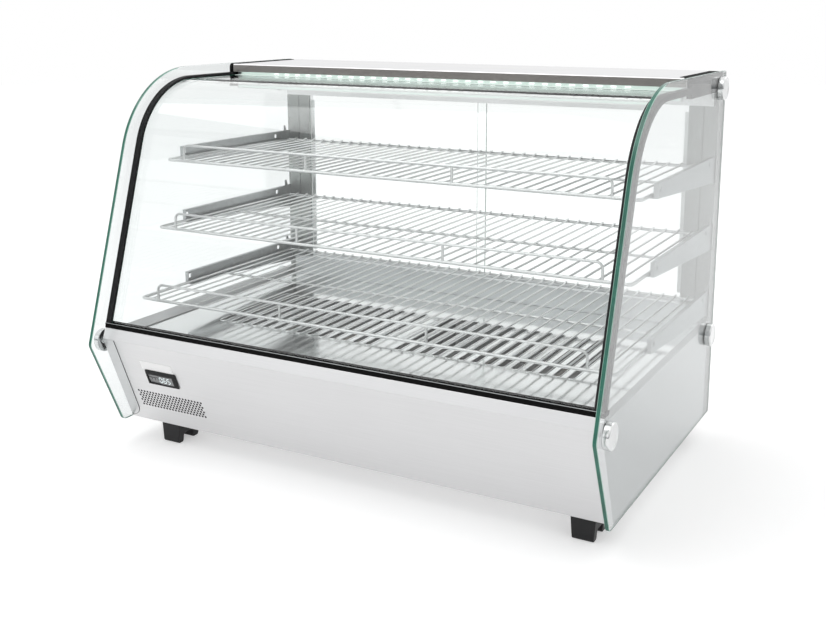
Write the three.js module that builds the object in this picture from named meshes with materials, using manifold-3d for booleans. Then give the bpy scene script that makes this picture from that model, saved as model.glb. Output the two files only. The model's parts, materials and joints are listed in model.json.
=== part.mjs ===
// Heated display case for a shop counter: a stainless base with a warm, slotted deck, two full-profile
// side glasses, a curved front glass, three wire shelves on hooked arms, a lit top cover and two
// sliding glass doors at the back. Millimetres, +Z up, front towards -Y, origin at the middle of the
// footprint on the surface that the feet stand on.

import * as THREE from 'three';
import { mergeVertices } from 'three/addons/utils/BufferGeometryUtils.js';
import Module from 'manifold-3d';

const wasm = await Module();
wasm.setup();

// Overall size and shared values
const overallWidth = 856;
const overallDepth = 568;
const seat = 0.3;
const cutOverrun = 3;
const sheet = 1.2;
const smallArcSteps = 5;
const largeArcSteps = 16;
const largeArcRadius = 40;
const roundSides = 16;
const tubeSides = 5;
const bendSteps = 3;

// Side glasses and the caps that hold them
const capProud = 10;
const rearProud = 4;
const sideGlassThickness = 6;
const glassBottomZ = 37;
const glassHeight = 566;
const bulgeHeight = 143;
const toeSetback = 64;
const leanDegrees = 17.6;
const sideGlassRadius = 168;
const bulgeRadius = 12;
const toeRadius = 10;
const heelRadius = 4;
const capDiameter = 36.5;
const capSpigotDiameter = 13.4;
const capChamfer = 1.6;
const capDish = 0.8;
const capInset = 36;
const capBelowTop = 25.5;

// Base: tray, front panel, deck and rear panel
const panelToeSetback = 21;
const panelHeight = 149;
const lipHeight = 16.3;
const lipLineSetback = 25.3;
const lipLean = 7;
const lipFlange = 19;
const toeFlange = 18;
const deckBelowLip = 16.3;
const sideWallAboveDeck = 10;
const sideLipWidth = 18.5;
const sideLipDrop = 8;
const deckLedge = 12;
const slotCount = 14;
const slotPitch = 21.7;
const slotWidth = 10.6;
const slotFrontInset = 146.4;
const slotRearInset = 169.8;
const firstSlotX = 26.8;

// Vent holes in the front panel
const ventRows = 7;
const ventColumns = 22;
const ventPitchX = 6.05;
const ventPitchUp = 4.7;
const ventHole = 2.8;
const ventSides = 4;
const ventMargin = 36.7;
const ventLowUp = 34;

// Feet
const footWidth = 31;
const footTopWidth = 37;
const footLength = 50;
const footFrontLeg = 13;
const footRearLeg = 15;
const footBridge = 22;
const footRound = 4;
const footLeftMargin = 55;
const footRightMargin = 26;
const footFrontInset = 10.7;
const footRearInset = 46;

// Curved front glass, its seals and the top of the case
const frontGlassThickness = 5;
const frontGlassBelowTop = 20;
const frontGlassSetback = 3.4;
const frontGlassRadius = 135;
const frontGlassEnd = 20;
const gasketWidth = 10.5;
const gasketInside = 5;
const gasketOutside = 4.5;
const sealHeight = 7.4;
const sealGroove = 1.2;
const coverDepth = 195;
const coverBelowTop = 1;
const coverLip = 14;
const coverGasketWidth = 8;
const coverGasketHeight = 30;
const crossbarDepth = 26;
const crossbarDrop = 36;
const crossbarSetback = 13;
const ledBarHeight = 11;
const ledBarDepth = 9;
const ledBarInset = 8;
const ledLensHeight = 7;
const ledLensDepth = 2;

// Rear frame: posts, rails and doors
const postWidth = 50;
const postDepth = 15.5;
const postLip = 10;
const hookSlotWidth = 2.2;
const hookSlotHeight = 14;
const hookSlotCount = 13;
const railDepth = 27;
const railHeight = 37;
const topRailDrop = 54;
const doorThickness = 4;
const doorPlay = 0.5;
const doorGap = 4;
const doorOverlap = 20;
const lowerGroove = 10;
const upperGroove = 22;
const doorLift = 8;
const pullWidth = 8;
const pullMargin = 12.5;
const pullThickness = 3;
const pullRib = 2;
const pullRibs = 2;
const pullInset = 0.5;

// Wire shelves and the arms that carry them
const shelfHeightShares = [0.7362, 0.4351, 0.134];
const shelfSideGap = 1;
const shelfRearGap = 16.2;
const topShelfGap = 67.4;
const middleShelfGap = 74.5;
const lowerShelfGap = 60.1;
const frameWire = 5;
const frameCorner = 9;
const crossWire = 3;
const crossWireCount = 38;
const wireSink = 0.5;
const wireDrop = 0.3;
const fenceHeight = 26;
const fenceWire = 4;
const fenceInset = 37.5;
const fenceUprightX = 126;
const fenceBend = 9;
const armSheet = 1.5;
const armLength = 318.7;
const armTopAbove = 17;
const armFrontHeight = 21;
const armRearHeight = 43;
const armFlange = 6.5;
const armLedge = 17;
const armWallGap = 1.7;
const armHole = 7;
const armHoleInset = 9;
const armHoleFront = 10;
const armHoleRear = 46;
const armPin = 8;
const armPinHeight = 10;
const armPinInset = 14;
const hookHeight = 8;
const hookDrop = 5;
const hookReach = 5;
const hookFirstDown = 8;
const hooksPerPitch = 4;

// Thermostat on the front panel
const bezelWidth = 61;
const bezelHeight = 27.5;
const bezelProud = 4.4;
const bezelChamfer = 3.4;
const faceRecess = 2;
const faceWidth = 50;
const faceHeight = 17;
const housingWidth = 57;
const housingHeight = 23.5;
const housingDepth = 42;
const thermostatMargin = 99.2;
const thermostatUp = 97.6;
const screenWidth = 27;
const screenThickness = 1.4;
const keySize = 4.6;
const keyPitch = 6.6;
const keyProud = 1;
const keyStem = 5;
const keyPlay = 0.4;

// Rear switches, air slots and cable gland
const switchMargin = 161.7;
const switchPitch = 46;
const switchUp = 73;
const switchFlangeWidth = 22;
const switchFlangeHeight = 30;
const switchFlange = 1.6;
const switchBodyWidth = 18;
const switchBodyHeight = 26;
const switchBodyDepth = 20;
const rockerWidth = 12;
const rockerHalf = 9;
const rockerTip = 3.2;
const rockerWaist = 2.1;
const rockerRoot = 6;
const rockerTiltDegrees = 10;
const rockerPlay = 0.4;
const glandMargin = 71.7;
const glandUp = 38;
const glandDiameter = 22;
const glandBore = 9;
const glandProud = 3.4;
const glandThread = 15;
const glandLength = 14;
const rearVentCount = 10;
const rearVentPitch = 12;
const rearVentWidth = 4;
const rearVentHeight = 60;

// Warm-air parts under the deck
const heaterSpread = 190;
const heaterBelowDeck = 34.8;
const heaterTube = 8;
const heaterPass = 40;
const heaterFrontReach = 34;
const heaterTurnReach = 21;
const heaterLegReach = 66;
const heaterBend = 16;
const fanStandWidth = 104;
const fanStandHeight = 30;
const fanStandDepth = 66;
const fanStandFoot = 14;
const motorDiameter = 56;
const motorHeight = 40;
const shaftDiameter = 6;
const shaftLength = 18;
const hubDiameter = 26;
const hubHeight = 14;
const hubLift = 4;
const bladeCount = 6;
const bladeReach = 58;
const bladeThickness = 1.6;
const bladeHeight = 16;
const bladePitchDegrees = 32;
const probeDiameter = 6;
const probeLength = 48;
const probeReach = 41;
const probeClip = 9;
const driverWidth = 90;
const driverDepth = 44;
const driverHeight = 30;
const driverRearGap = 28;

// Places that follow from the sizes above
const radians = Math.PI / 180;
const lean = leanDegrees * radians;
const outerX = overallWidth / 2 - capProud;
const innerX = outerX - sideGlassThickness;
const bodyX = innerX - seat;
const rearY = overallDepth / 2 - rearProud;
const glassTopZ = glassBottomZ + glassHeight;
const bulgeZ = glassBottomZ + bulgeHeight;
const toeAngle = Math.atan(toeSetback / bulgeHeight);
const bulgeAllowance = bulgeRadius * (Math.cos((toeAngle - lean) / 2) / Math.cos((toeAngle + lean) / 2) - 1);
const bulgeY = -overallDepth / 2 - bulgeAllowance;
const toeY = bulgeY + toeSetback;
const glassCornerY = bulgeY + Math.tan(lean) * (glassTopZ - bulgeZ);

const lipLineZ = glassBottomZ + panelHeight;
const lipTopZ = lipLineZ + lipHeight;
const deckZ = lipTopZ - deckBelowLip;
const panelToeY = toeY + panelToeSetback;
const lipLineY = -overallDepth / 2 + lipLineSetback;
const lipTopY = lipLineY + lipLean;
const panelTilt = Math.PI / 2 + Math.atan((panelToeY - lipLineY) / panelHeight);
const floorTopZ = glassBottomZ + sheet;
const deckUnderZ = deckZ - sheet;
const sideWallTopZ = deckZ + sideWallAboveDeck;
const rearPanelY = rearY - sheet;
const flangeEndY = lipTopY + lipFlange;
const slotFrontY = flangeEndY + seat + slotFrontInset;
const slotRearY = rearPanelY - slotRearInset;
const slotMiddleY = (slotFrontY + slotRearY) / 2;

const frontGlassTopZ = glassTopZ - frontGlassBelowTop;
const frontGlassX = bodyX - coverGasketWidth - seat;
const gasketX = bodyX - gasketWidth;
const coverX = bodyX - coverGasketWidth - seat;
const coverTopZ = glassTopZ - coverBelowTop;
const coverUnderZ = coverTopZ - sheet;
const coverFrontY = rearY - coverDepth;
const crossbarY = coverFrontY + crossbarSetback;
const crossbarTopZ = coverUnderZ - seat;
const crossbarBottomZ = coverTopZ - crossbarDrop;
const topRailZ = coverTopZ - topRailDrop;
const railTopZ = deckZ + railHeight;
const postInnerX = bodyX - postWidth;
const postFrontY = rearPanelY - seat - postDepth;
const railFrontY = rearPanelY - seat - railDepth;
const railWideX = bodyX - sideLipWidth - seat;
const railNarrowX = postInnerX - seat;
const innerDoorY = postFrontY + sheet;
const outerDoorY = innerDoorY + doorThickness + doorGap;
const doorBottomZ = railTopZ - lowerGroove + seat;
const doorTopZ = topRailZ + upperGroove - doorLift;

const armPlateX = bodyX - armWallGap;
const armEndY = postFrontY - seat;
const armFrontY = armEndY - armLength;
const shelfHalfWidth = armPlateX - armFlange - shelfSideGap;
const shelfRearY = armEndY - shelfRearGap;
const shelfRoom = topRailZ - deckZ;
const shelfLevels = [topShelfGap, middleShelfGap, lowerShelfGap].map((gap, level) => {
  const z = deckZ + shelfHeightShares[level] * shelfRoom;
  return { z, frontY: glassLineY(z, 0) + gap };
});
const hookPitch = (shelfLevels[0].z - shelfLevels[1].z) / hooksPerPitch;
const thermostatX = -bodyX + thermostatMargin;
const ventLeftX = -bodyX + ventMargin;
const switchX = bodyX - switchMargin;
const switchZ = glassBottomZ + switchUp;
const glandX = bodyX - glandMargin;
const glandZ = glassBottomZ + glandUp;
const heaterZ = deckUnderZ - heaterBelowDeck;

// Geometry helpers

function solid(geometry) {
  const bare = geometry.clone();
  bare.deleteAttribute('normal');
  bare.deleteAttribute('uv');
  const merged = mergeVertices(bare, seat / 1000);
  return new wasm.Manifold(new wasm.Mesh({
    numProp: 3,
    vertProperties: new Float32Array(merged.attributes.position.array),
    triVerts: new Uint32Array(merged.index.array),
  }));
}

function geometryOf(manifold) {
  const mesh = manifold.getMesh();
  const geometry = new THREE.BufferGeometry();
  geometry.setAttribute('position', new THREE.BufferAttribute(mesh.vertProperties, 3));
  geometry.setIndex(new THREE.BufferAttribute(mesh.triVerts, 1));
  return geometry;
}

function join(first, ...others) {
  return geometryOf(others.reduce((sum, other) => sum.add(solid(other)), solid(first)));
}

function cut(first, ...others) {
  return geometryOf(others.reduce((rest, other) => rest.subtract(solid(other)), solid(first)));
}

function common(first, second) {
  return geometryOf(solid(first).intersect(solid(second)));
}

function shapeOf(points) {
  return new THREE.Shape(points.map(([a, b]) => new THREE.Vector2(a, b)));
}

function extrude(shapes, depth) {
  return new THREE.ExtrudeGeometry(shapes, { depth, bevelEnabled: false });
}

function extrudeWithHoles(points, depth, holes = []) {
  const blank = extrude(shapeOf(points), depth);
  if (holes.length === 0) return blank;
  const cutter = extrude(holes.map((hole) => shapeOf(hole)), depth + 2 * cutOverrun);
  return cut(blank, cutter.translate(0, 0, -cutOverrun));
}

// A (y, z) outline swept from x0 to x1
function acrossX(points, x0, x1, holes) {
  const turn = new THREE.Matrix4().makeBasis(
    new THREE.Vector3(0, 1, 0), new THREE.Vector3(0, 0, 1), new THREE.Vector3(1, 0, 0));
  const low = Math.min(x0, x1);
  return extrudeWithHoles(points, Math.abs(x1 - x0), holes).applyMatrix4(turn).translate(low, 0, 0);
}

// An (x, z) outline swept from y0 to y1
function acrossY(points, y0, y1, holes) {
  return extrudeWithHoles(points, y1 - y0, holes).rotateX(Math.PI / 2).translate(0, y1, 0);
}

// An (x, y) outline swept from z0 to z1
function acrossZ(points, z0, z1, holes) {
  return extrudeWithHoles(points, z1 - z0, holes).translate(0, 0, z0);
}

function rectangle(a0, a1, b0, b1) {
  return [[a0, b0], [a1, b0], [a1, b1], [a0, b1]];
}

function block(x0, x1, y0, y1, z0, z1) {
  return acrossZ(rectangle(Math.min(x0, x1), Math.max(x0, x1), y0, y1), z0, z1);
}

function ring(a, b, radius, sides) {
  const step = 2 * Math.PI / sides;
  return Array.from({ length: sides }, (_, i) => [
    a + radius * Math.cos(step * (i + 1 / 2)),
    b + radius * Math.sin(step * (i + 1 / 2)),
  ]);
}

// A slot outline along the second direction, with round ends
function slotOutline(a, b0, b1, width) {
  const half = width / 2;
  const points = [];
  for (let i = 0; i <= smallArcSteps; i += 1) {
    const angle = Math.PI * i / smallArcSteps;
    points.push([a + half * Math.cos(angle), b1 - half + half * Math.sin(angle)]);
  }
  for (let i = 0; i <= smallArcSteps; i += 1) {
    const angle = Math.PI + Math.PI * i / smallArcSteps;
    points.push([a + half * Math.cos(angle), b0 + half + half * Math.sin(angle)]);
  }
  return points;
}

// Points of the arc that rounds the corner at b between a and c
function cornerArc([a0, a1], [b0, b1, radius = 0], [c0, c1]) {
  if (radius === 0) return [[b0, b1]];
  const inward = new THREE.Vector2(a0 - b0, a1 - b1).normalize();
  const onward = new THREE.Vector2(c0 - b0, c1 - b1).normalize();
  const opening = Math.acos(THREE.MathUtils.clamp(inward.dot(onward), -1, 1));
  const reach = radius / Math.tan(opening / 2);
  const middle = inward.clone().add(onward).normalize().multiplyScalar(radius / Math.sin(opening / 2));
  const centre = new THREE.Vector2(b0, b1).add(middle);
  const start = new THREE.Vector2(b0, b1).addScaledVector(inward, reach).sub(centre);
  const turn = Math.PI - opening;
  const sign = Math.sign(inward.cross(onward)) || 1;
  const quarterSteps = radius > largeArcRadius ? largeArcSteps : smallArcSteps;
  const steps = Math.max(2, Math.ceil(quarterSteps * turn / (Math.PI / 2)));
  return Array.from({ length: steps + 1 }, (_, i) => {
    const spoke = start.clone().rotateAround(new THREE.Vector2(), -sign * turn * i / steps);
    return [centre.x + spoke.x, centre.y + spoke.y];
  });
}

function roundedOutline(corners) {
  const count = corners.length;
  return corners.flatMap((corner, i) => (
    cornerArc(corners[(i + count - 1) % count], corner, corners[(i + 1) % count])));
}

function roundedPath(corners) {
  const last = corners.length - 1;
  return corners.flatMap((corner, i) => (
    i === 0 || i === last ? [corner.slice(0, 2)] : cornerArc(corners[i - 1], corner, corners[i + 1])));
}

// A folded sheet: the outer line and the same line moved sideways by the sheet's thickness
function foldedSheet(line, thickness) {
  const normals = line.slice(1).map(([a, b], i) => (
    new THREE.Vector2(b - line[i][1], line[i][0] - a).normalize()));
  const inner = line.map(([a, b], i) => {
    const before = normals[Math.max(i - 1, 0)];
    const after = normals[Math.min(i, normals.length - 1)];
    const mitre = before.clone().add(after).normalize();
    const shift = thickness / mitre.dot(before);
    return [a + mitre.x * shift, b + mitre.y * shift];
  });
  return [...line, ...inner.reverse()];
}

// A path through a list of points that keeps every point, for rods bent at sharp radii
class BentLine extends THREE.Curve {
  constructor(points) {
    super();
    this.points = points;
  }

  getPointAt(u) {
    const place = u * (this.points.length - 1);
    const low = Math.min(Math.floor(place), this.points.length - 2);
    return this.points[low].clone().lerp(this.points[low + 1], place - low);
  }

  getTangentAt(u) {
    const index = Math.round(u * (this.points.length - 1));
    const before = this.points[Math.max(index - 1, 0)];
    const here = this.points[index];
    const after = this.points[Math.min(index + 1, this.points.length - 1)];
    const arriving = here.clone().sub(before).normalize();
    const leaving = after.clone().sub(here).normalize();
    return arriving.add(leaving).normalize();
  }
}

// A round bar along 3-D corners, each bent to the same radius
function rod(corners, diameter, bend, sides) {
  const points = corners.flatMap((corner, i) => {
    if (i === 0 || i === corners.length - 1) return [corner];
    const back = corners[i - 1].clone().sub(corner).normalize().multiplyScalar(bend);
    const on = corners[i + 1].clone().sub(corner).normalize().multiplyScalar(bend);
    const curve = new THREE.QuadraticBezierCurve3(corner.clone().add(back), corner, corner.clone().add(on));
    return curve.getPoints(bendSteps);
  });
  const section = shapeOf(ring(0, 0, diameter / 2, sides));
  return new THREE.ExtrudeGeometry(section, { steps: points.length - 1, extrudePath: new BentLine(points) });
}

// Materials, by finish

const finishes = {
  brushed: { color: 0xd3d4d5, roughness: 0.35, metalness: 0.9 },
  polished: { color: 0xdfe2e2, roughness: 0.08, metalness: 1 },
  galvanised: { color: 0xb9bdc0, roughness: 0.45, metalness: 0.8 },
  chrome: { color: 0xe4e6e8, roughness: 0.12, metalness: 1 },
  aluminium: { color: 0xc9cccb, roughness: 0.3, metalness: 0.9 },
  clearGlass: { color: 0xf3fbf8, roughness: 0.03, metalness: 0, transparent: true, opacity: 0.25 },
  greenGlass: { color: 0xd6efe6, roughness: 0.03, metalness: 0, transparent: true, opacity: 0.3 },
  rubber: { color: 0x1c1c1d, roughness: 0.6, metalness: 0 },
  blackPlastic: { color: 0x232425, roughness: 0.45, metalness: 0 },
  greyPlastic: { color: 0x6f7375, roughness: 0.35, metalness: 0 },
  lampLens: { color: 0xfafdf6, roughness: 0.4, metalness: 0, emissive: 0xf3fff4, emissiveIntensity: 0.6 },
  heaterSteel: { color: 0x8a8680, roughness: 0.5, metalness: 0.7 },
  motorSteel: { color: 0x9b9ea1, roughness: 0.4, metalness: 0.8 },
};

const displayCase = new THREE.Group();

function addPart(name, geometry, finish, parent = displayCase) {
  const mesh = new THREE.Mesh(geometry, new THREE.MeshStandardMaterial(finishes[finish]));
  mesh.name = name;
  parent.add(mesh);
  return mesh;
}

const sides = [['left', -1], ['right', 1]];

// Side glasses: one flat pane each, covering the whole side of the case down to the base

const capPlaces = [
  ['front', -overallDepth / 2 + capInset, bulgeZ],
  ['lower_rear', rearY - capInset, bulgeZ],
  ['upper_rear', rearY - capInset, glassTopZ - capBelowTop],
];

function sideGlassOutline() {
  return roundedOutline([
    [rearY, glassBottomZ, heelRadius],
    [toeY, glassBottomZ, toeRadius],
    [bulgeY, bulgeZ, bulgeRadius],
    [glassCornerY, glassTopZ, sideGlassRadius],
    [rearY, glassTopZ, heelRadius],
  ]);
}

function capGeometry() {
  const face = capDiameter / 2;
  const spigot = capSpigotDiameter / 2;
  const inside = -sideGlassThickness;
  const back = seat;
  const profile = [
    [0, inside],
    [spigot, inside],
    [spigot, back],
    [face, back],
    [face, capProud - capChamfer],
    [face - capChamfer, capProud],
    [face - capChamfer * 2, capProud - capDish],
    [0, capProud - capDish],
  ].map(([radius, height]) => new THREE.Vector2(radius, height));
  return new THREE.LatheGeometry(profile, roundSides);
}

for (const [side, sign] of sides) {
  const holes = capPlaces.map(([, y, z]) => ring(y, z, capSpigotDiameter / 2 + seat, roundSides));
  addPart(`side_glass_${side}`,
    acrossX(sideGlassOutline(), sign * innerX, sign * outerX, holes), 'greenGlass');
  for (const [place, y, z] of capPlaces) {
    const cap = addPart(`glass_cap_${place}_${side}`, capGeometry(), 'chrome');
    cap.rotation.z = -sign * Math.PI / 2;
    cap.position.set(sign * outerX, y, z);
  }
}

// Base tray: floor, side walls with sloping inward lips, and a ledge along each wall for the deck

function traySection() {
  const wall = bodyX - sheet;
  const lipEnd = bodyX - sideLipWidth;
  const lipLow = sideWallTopZ - sideLipDrop;
  const ledgeTop = deckUnderZ - seat;
  const half = [
    [bodyX, glassBottomZ],
    [bodyX, sideWallTopZ],
    [lipEnd, lipLow],
    [lipEnd, lipLow - sheet],
    [wall, sideWallTopZ - sheet * 2],
    [wall, ledgeTop],
    [wall - deckLedge, ledgeTop],
    [wall - deckLedge, ledgeTop - sheet],
    [wall, ledgeTop - sheet],
    [wall, floorTopZ],
  ];
  const mirrored = half.map(([x, z]) => [-x, z]).reverse();
  return [...half, ...mirrored];
}

const panelLine = [
  [panelToeY + toeFlange, glassBottomZ],
  [panelToeY, glassBottomZ],
  [lipLineY, lipLineZ],
  [lipTopY, lipTopZ],
  [flangeEndY, lipTopZ],
  [flangeEndY, deckZ + seat],
];

function trayTrim() {
  const behind = foldedSheet(panelLine.slice(1, 4), sheet + seat).slice(3).reverse();
  const rear = rearPanelY - seat;
  const flangeEnd = panelToeY + toeFlange + seat;
  const overFlange = floorTopZ + seat;
  const [toe, lipLine, lipTop] = behind;
  const share = (overFlange - toe[1]) / (lipLine[1] - toe[1]);
  return [
    [rear, glassBottomZ - cutOverrun],
    [flangeEnd, glassBottomZ - cutOverrun],
    [flangeEnd, overFlange],
    [toe[0] + share * (lipLine[0] - toe[0]), overFlange],
    lipLine, lipTop,
    [lipTop[0], lipTopZ + cutOverrun],
    [rear, lipTopZ + cutOverrun],
  ];
}

const trayBlank = acrossY(traySection(), -overallDepth / 2, overallDepth / 2);
addPart('base_tray', common(trayBlank, acrossX(trayTrim(), -outerX, outerX)), 'brushed');

// Front panel: one folded sheet with the thermostat's opening and the vent holes.
// The panel's own frame has x to the right, y up the slope and z out of the face.

const panelFrame = new THREE.Group();
panelFrame.position.set(0, panelToeY, glassBottomZ);
panelFrame.rotation.x = panelTilt;
panelFrame.updateMatrix();
displayCase.add(panelFrame);

function frontPanelGeometry() {
  const foldedX = bodyX - sheet - seat;
  const face = acrossX(foldedSheet(panelLine.slice(1, 5), sheet), -bodyX, bodyX);
  const toe = acrossX(foldedSheet(panelLine.slice(0, 2), sheet), -foldedX, foldedX);
  const back = acrossX(foldedSheet(panelLine.slice(4), sheet), -railWideX, railWideX);
  const opening = rectangle(
    thermostatX - housingWidth / 2 - seat, thermostatX + housingWidth / 2 + seat,
    thermostatUp - housingHeight / 2 - seat, thermostatUp + housingHeight / 2 + seat);
  const vents = [];
  for (let row = 0; row < ventRows; row += 1) {
    const shifted = row % 2;
    const stagger = shifted * ventPitchX / 2;
    for (let column = 0; column < ventColumns - shifted; column += 1) {
      const x = ventLeftX + stagger + column * ventPitchX;
      vents.push(ring(x, ventLowUp + row * ventPitchUp, ventHole / 2, ventSides));
    }
  }
  const cutter = extrude([opening, ...vents].map((outline) => shapeOf(outline)), 2 * cutOverrun)
    .translate(0, 0, -cutOverrun)
    .applyMatrix4(panelFrame.matrix);
  return cut(join(face, toe, back), cutter);
}

addPart('front_panel', frontPanelGeometry(), 'brushed');

// Deck: a polished plate with two groups of long air slots

function deckGeometry() {
  const halfWidth = bodyX - sheet - seat;
  const outline = rectangle(-halfWidth, halfWidth, flangeEndY + seat, rearPanelY - seat);
  const slots = [];
  for (const [, sign] of sides) {
    for (let i = 0; i < slotCount; i += 1) {
      slots.push(slotOutline(sign * (firstSlotX + i * slotPitch), slotFrontY, slotRearY, slotWidth));
    }
  }
  return acrossZ(outline, deckUnderZ, deckZ, slots);
}

addPart('deck_plate', deckGeometry(), 'polished');

// Rear panel with openings for the switches, the cable gland and a row of air slots

const switchPlaces = [['main', switchX], ['lamp', switchX - switchPitch]];

function rearPanelGeometry() {
  const holes = switchPlaces.map(([, x]) => rectangle(
    x - switchBodyWidth / 2 - seat, x + switchBodyWidth / 2 + seat,
    switchZ - switchBodyHeight / 2 - seat, switchZ + switchBodyHeight / 2 + seat));
  holes.push(ring(glandX, glandZ, glandThread / 2 + seat, roundSides));
  for (let i = 0; i < rearVentCount; i += 1) {
    const x = -(i + rearVentCount / 2) * rearVentPitch;
    holes.push(rectangle(x - rearVentWidth / 2, x + rearVentWidth / 2,
      switchZ - rearVentHeight / 2, switchZ + rearVentHeight / 2));
  }
  return acrossY(rectangle(-bodyX, bodyX, glassBottomZ, sideWallTopZ), rearPanelY, rearY, holes);
}

addPart('rear_panel', rearPanelGeometry(), 'brushed');

// Feet: short bridges, open between a thick front leg and a thinner rear leg

function footGeometry() {
  const top = glassBottomZ - seat;
  const half = footWidth / 2;
  const halfTop = footTopWidth / 2;
  const under = top - footBridge;
  const outline = roundedOutline([
    [0, 0, footRound],
    [footFrontLeg, 0, footRound],
    [footFrontLeg, under, footRound],
    [footLength - footRearLeg, under, footRound],
    [footLength - footRearLeg, 0, footRound],
    [footLength, 0, footRound],
    [footLength, top],
    [0, top],
  ]);
  const front = [[-half, 0], [half, 0], [halfTop, top], [-halfTop, top]];
  return common(acrossX(outline, -footTopWidth, footTopWidth), acrossY(front, 0, footLength));
}

const footXs = [-bodyX + footLeftMargin + footWidth / 2, bodyX - footRightMargin - footWidth / 2];
const footYs = [panelToeY + footFrontInset, rearY - footRearInset - footLength];
for (const [row, y] of [['front', footYs[0]], ['rear', footYs[1]]]) {
  for (const [side, x] of [['left', footXs[0]], ['right', footXs[1]]]) {
    addPart(`foot_${row}_${side}`, footGeometry(), 'blackPlastic').position.set(x, y, 0);
  }
}

// Curved front glass and everything that follows its curve

function glassLineY(z, inset) {
  return lipTopY + frontGlassSetback + Math.tan(lean) * (z - lipTopZ) + inset / Math.cos(lean);
}

function glassCurve(inset, bottomZ, endY) {
  const top = frontGlassTopZ - inset;
  return roundedPath([
    [glassLineY(bottomZ, inset), bottomZ],
    [glassLineY(top, inset), top, frontGlassRadius - inset],
    [endY, top],
  ]);
}

function glassBand(outerInset, innerInset, bottomZ, endY) {
  return [...glassCurve(outerInset, bottomZ, endY), ...glassCurve(innerInset, bottomZ, endY).reverse()];
}

const sealZ = lipTopZ + seat;
const sealTopZ = sealZ + sealHeight;
const glassFootZ = sealZ + sealHeight / 4;
const glassEndY = coverFrontY + frontGlassEnd;

addPart('front_glass',
  acrossX(glassBand(0, frontGlassThickness, glassFootZ, glassEndY), -frontGlassX, frontGlassX),
  'clearGlass');

function endGasketGeometry(sign) {
  const band = glassBand(-gasketOutside, gasketInside, sealTopZ + seat, coverFrontY - seat);
  const groove = glassBand(-seat, frontGlassThickness + seat, sealZ, coverFrontY + cutOverrun);
  return cut(
    acrossX(band, sign * gasketX, sign * bodyX),
    acrossX(groove, sign * (gasketX - cutOverrun), sign * (frontGlassX + seat)));
}

for (const [side, sign] of sides) {
  addPart(`end_gasket_${side}`, endGasketGeometry(sign), 'rubber');
}

// Seal under the front glass, with a line pressed along its front face

function sealGeometry() {
  const frontY = lipTopY;
  const rearLipY = flangeEndY - sheet;
  const middleZ = (sealZ + sealTopZ) / 2;
  const outline = [
    [frontY, sealZ],
    [frontY, middleZ - sealGroove],
    [frontY + sealGroove, middleZ],
    [frontY, middleZ + sealGroove],
    [frontY + sealGroove, sealTopZ],
    [rearLipY, sealTopZ - sealGroove],
    [rearLipY, sealZ],
  ];
  const grip = [
    [glassLineY(glassFootZ - seat, -seat), glassFootZ - seat],
    [glassLineY(sealTopZ + cutOverrun, -seat), sealTopZ + cutOverrun],
    [glassLineY(sealTopZ + cutOverrun, frontGlassThickness + seat), sealTopZ + cutOverrun],
    [glassLineY(glassFootZ - seat, frontGlassThickness + seat), glassFootZ - seat],
  ];
  return cut(acrossX(outline, -bodyX, bodyX), acrossX(grip, -bodyX - cutOverrun, bodyX + cutOverrun));
}

addPart('bottom_seal', sealGeometry(), 'rubber');

// Top cover, the gaskets at its ends, and the crossbar with the lamp under its front edge

const coverRearZ = coverTopZ - coverLip;
addPart('top_cover', acrossX(foldedSheet([
  [coverFrontY, coverTopZ - coverLip],
  [coverFrontY, coverTopZ],
  [rearY, coverTopZ],
  [rearY, coverRearZ],
], sheet), -coverX, coverX), 'brushed');

for (const [side, sign] of sides) {
  addPart(`cover_gasket_${side}`, acrossX(
    rectangle(coverFrontY, postFrontY - seat, coverTopZ - coverGasketHeight, coverTopZ),
    sign * (bodyX - coverGasketWidth), sign * bodyX), 'rubber');
}

const ledBarTopZ = frontGlassTopZ - frontGlassThickness - seat * 2;
const ledBarRearY = crossbarY - seat;
const ledBarX = frontGlassX - ledBarInset;

function crossbarGeometry() {
  const outline = rectangle(crossbarY, crossbarY + crossbarDepth, crossbarBottomZ, crossbarTopZ);
  const groove = rectangle(crossbarY - cutOverrun, glassEndY + seat,
    frontGlassTopZ - frontGlassThickness - seat, frontGlassTopZ + seat);
  const channel = rectangle(crossbarY + sheet * 2, crossbarY + crossbarDepth - sheet * 2,
    crossbarBottomZ - cutOverrun, frontGlassTopZ - frontGlassThickness - seat - sheet * 2);
  return cut(acrossX(outline, -coverX, coverX),
    acrossX(groove, -outerX, outerX), acrossX(channel, -outerX, outerX));
}

addPart('front_crossbar', crossbarGeometry(), 'aluminium');

const lensZ = ledBarTopZ - (ledBarHeight - ledLensHeight) / 2 - ledLensHeight;
const ledBarFrontY = ledBarRearY - ledBarDepth;
addPart('lamp_channel', cut(
  acrossX(rectangle(ledBarFrontY, ledBarRearY, ledBarTopZ - ledBarHeight, ledBarTopZ), -ledBarX, ledBarX),
  acrossX(rectangle(ledBarFrontY - cutOverrun, ledBarFrontY + ledLensDepth + seat,
    lensZ - seat, lensZ + ledLensHeight + seat), -ledBarX + sheet, ledBarX - sheet)), 'aluminium');
addPart('lamp_lens', acrossX(
  rectangle(ledBarFrontY, ledBarFrontY + ledLensDepth, lensZ, lensZ + ledLensHeight),
  -ledBarX + sheet + seat, ledBarX - sheet - seat), 'lampLens');

// Rear posts: channels with a column of slots for the shelf arms' hooks

const lowestArmTopZ = shelfLevels[shelfLevels.length - 1].z + armTopAbove;
const firstHookZ = lowestArmTopZ - hookFirstDown - hookPitch;

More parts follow.
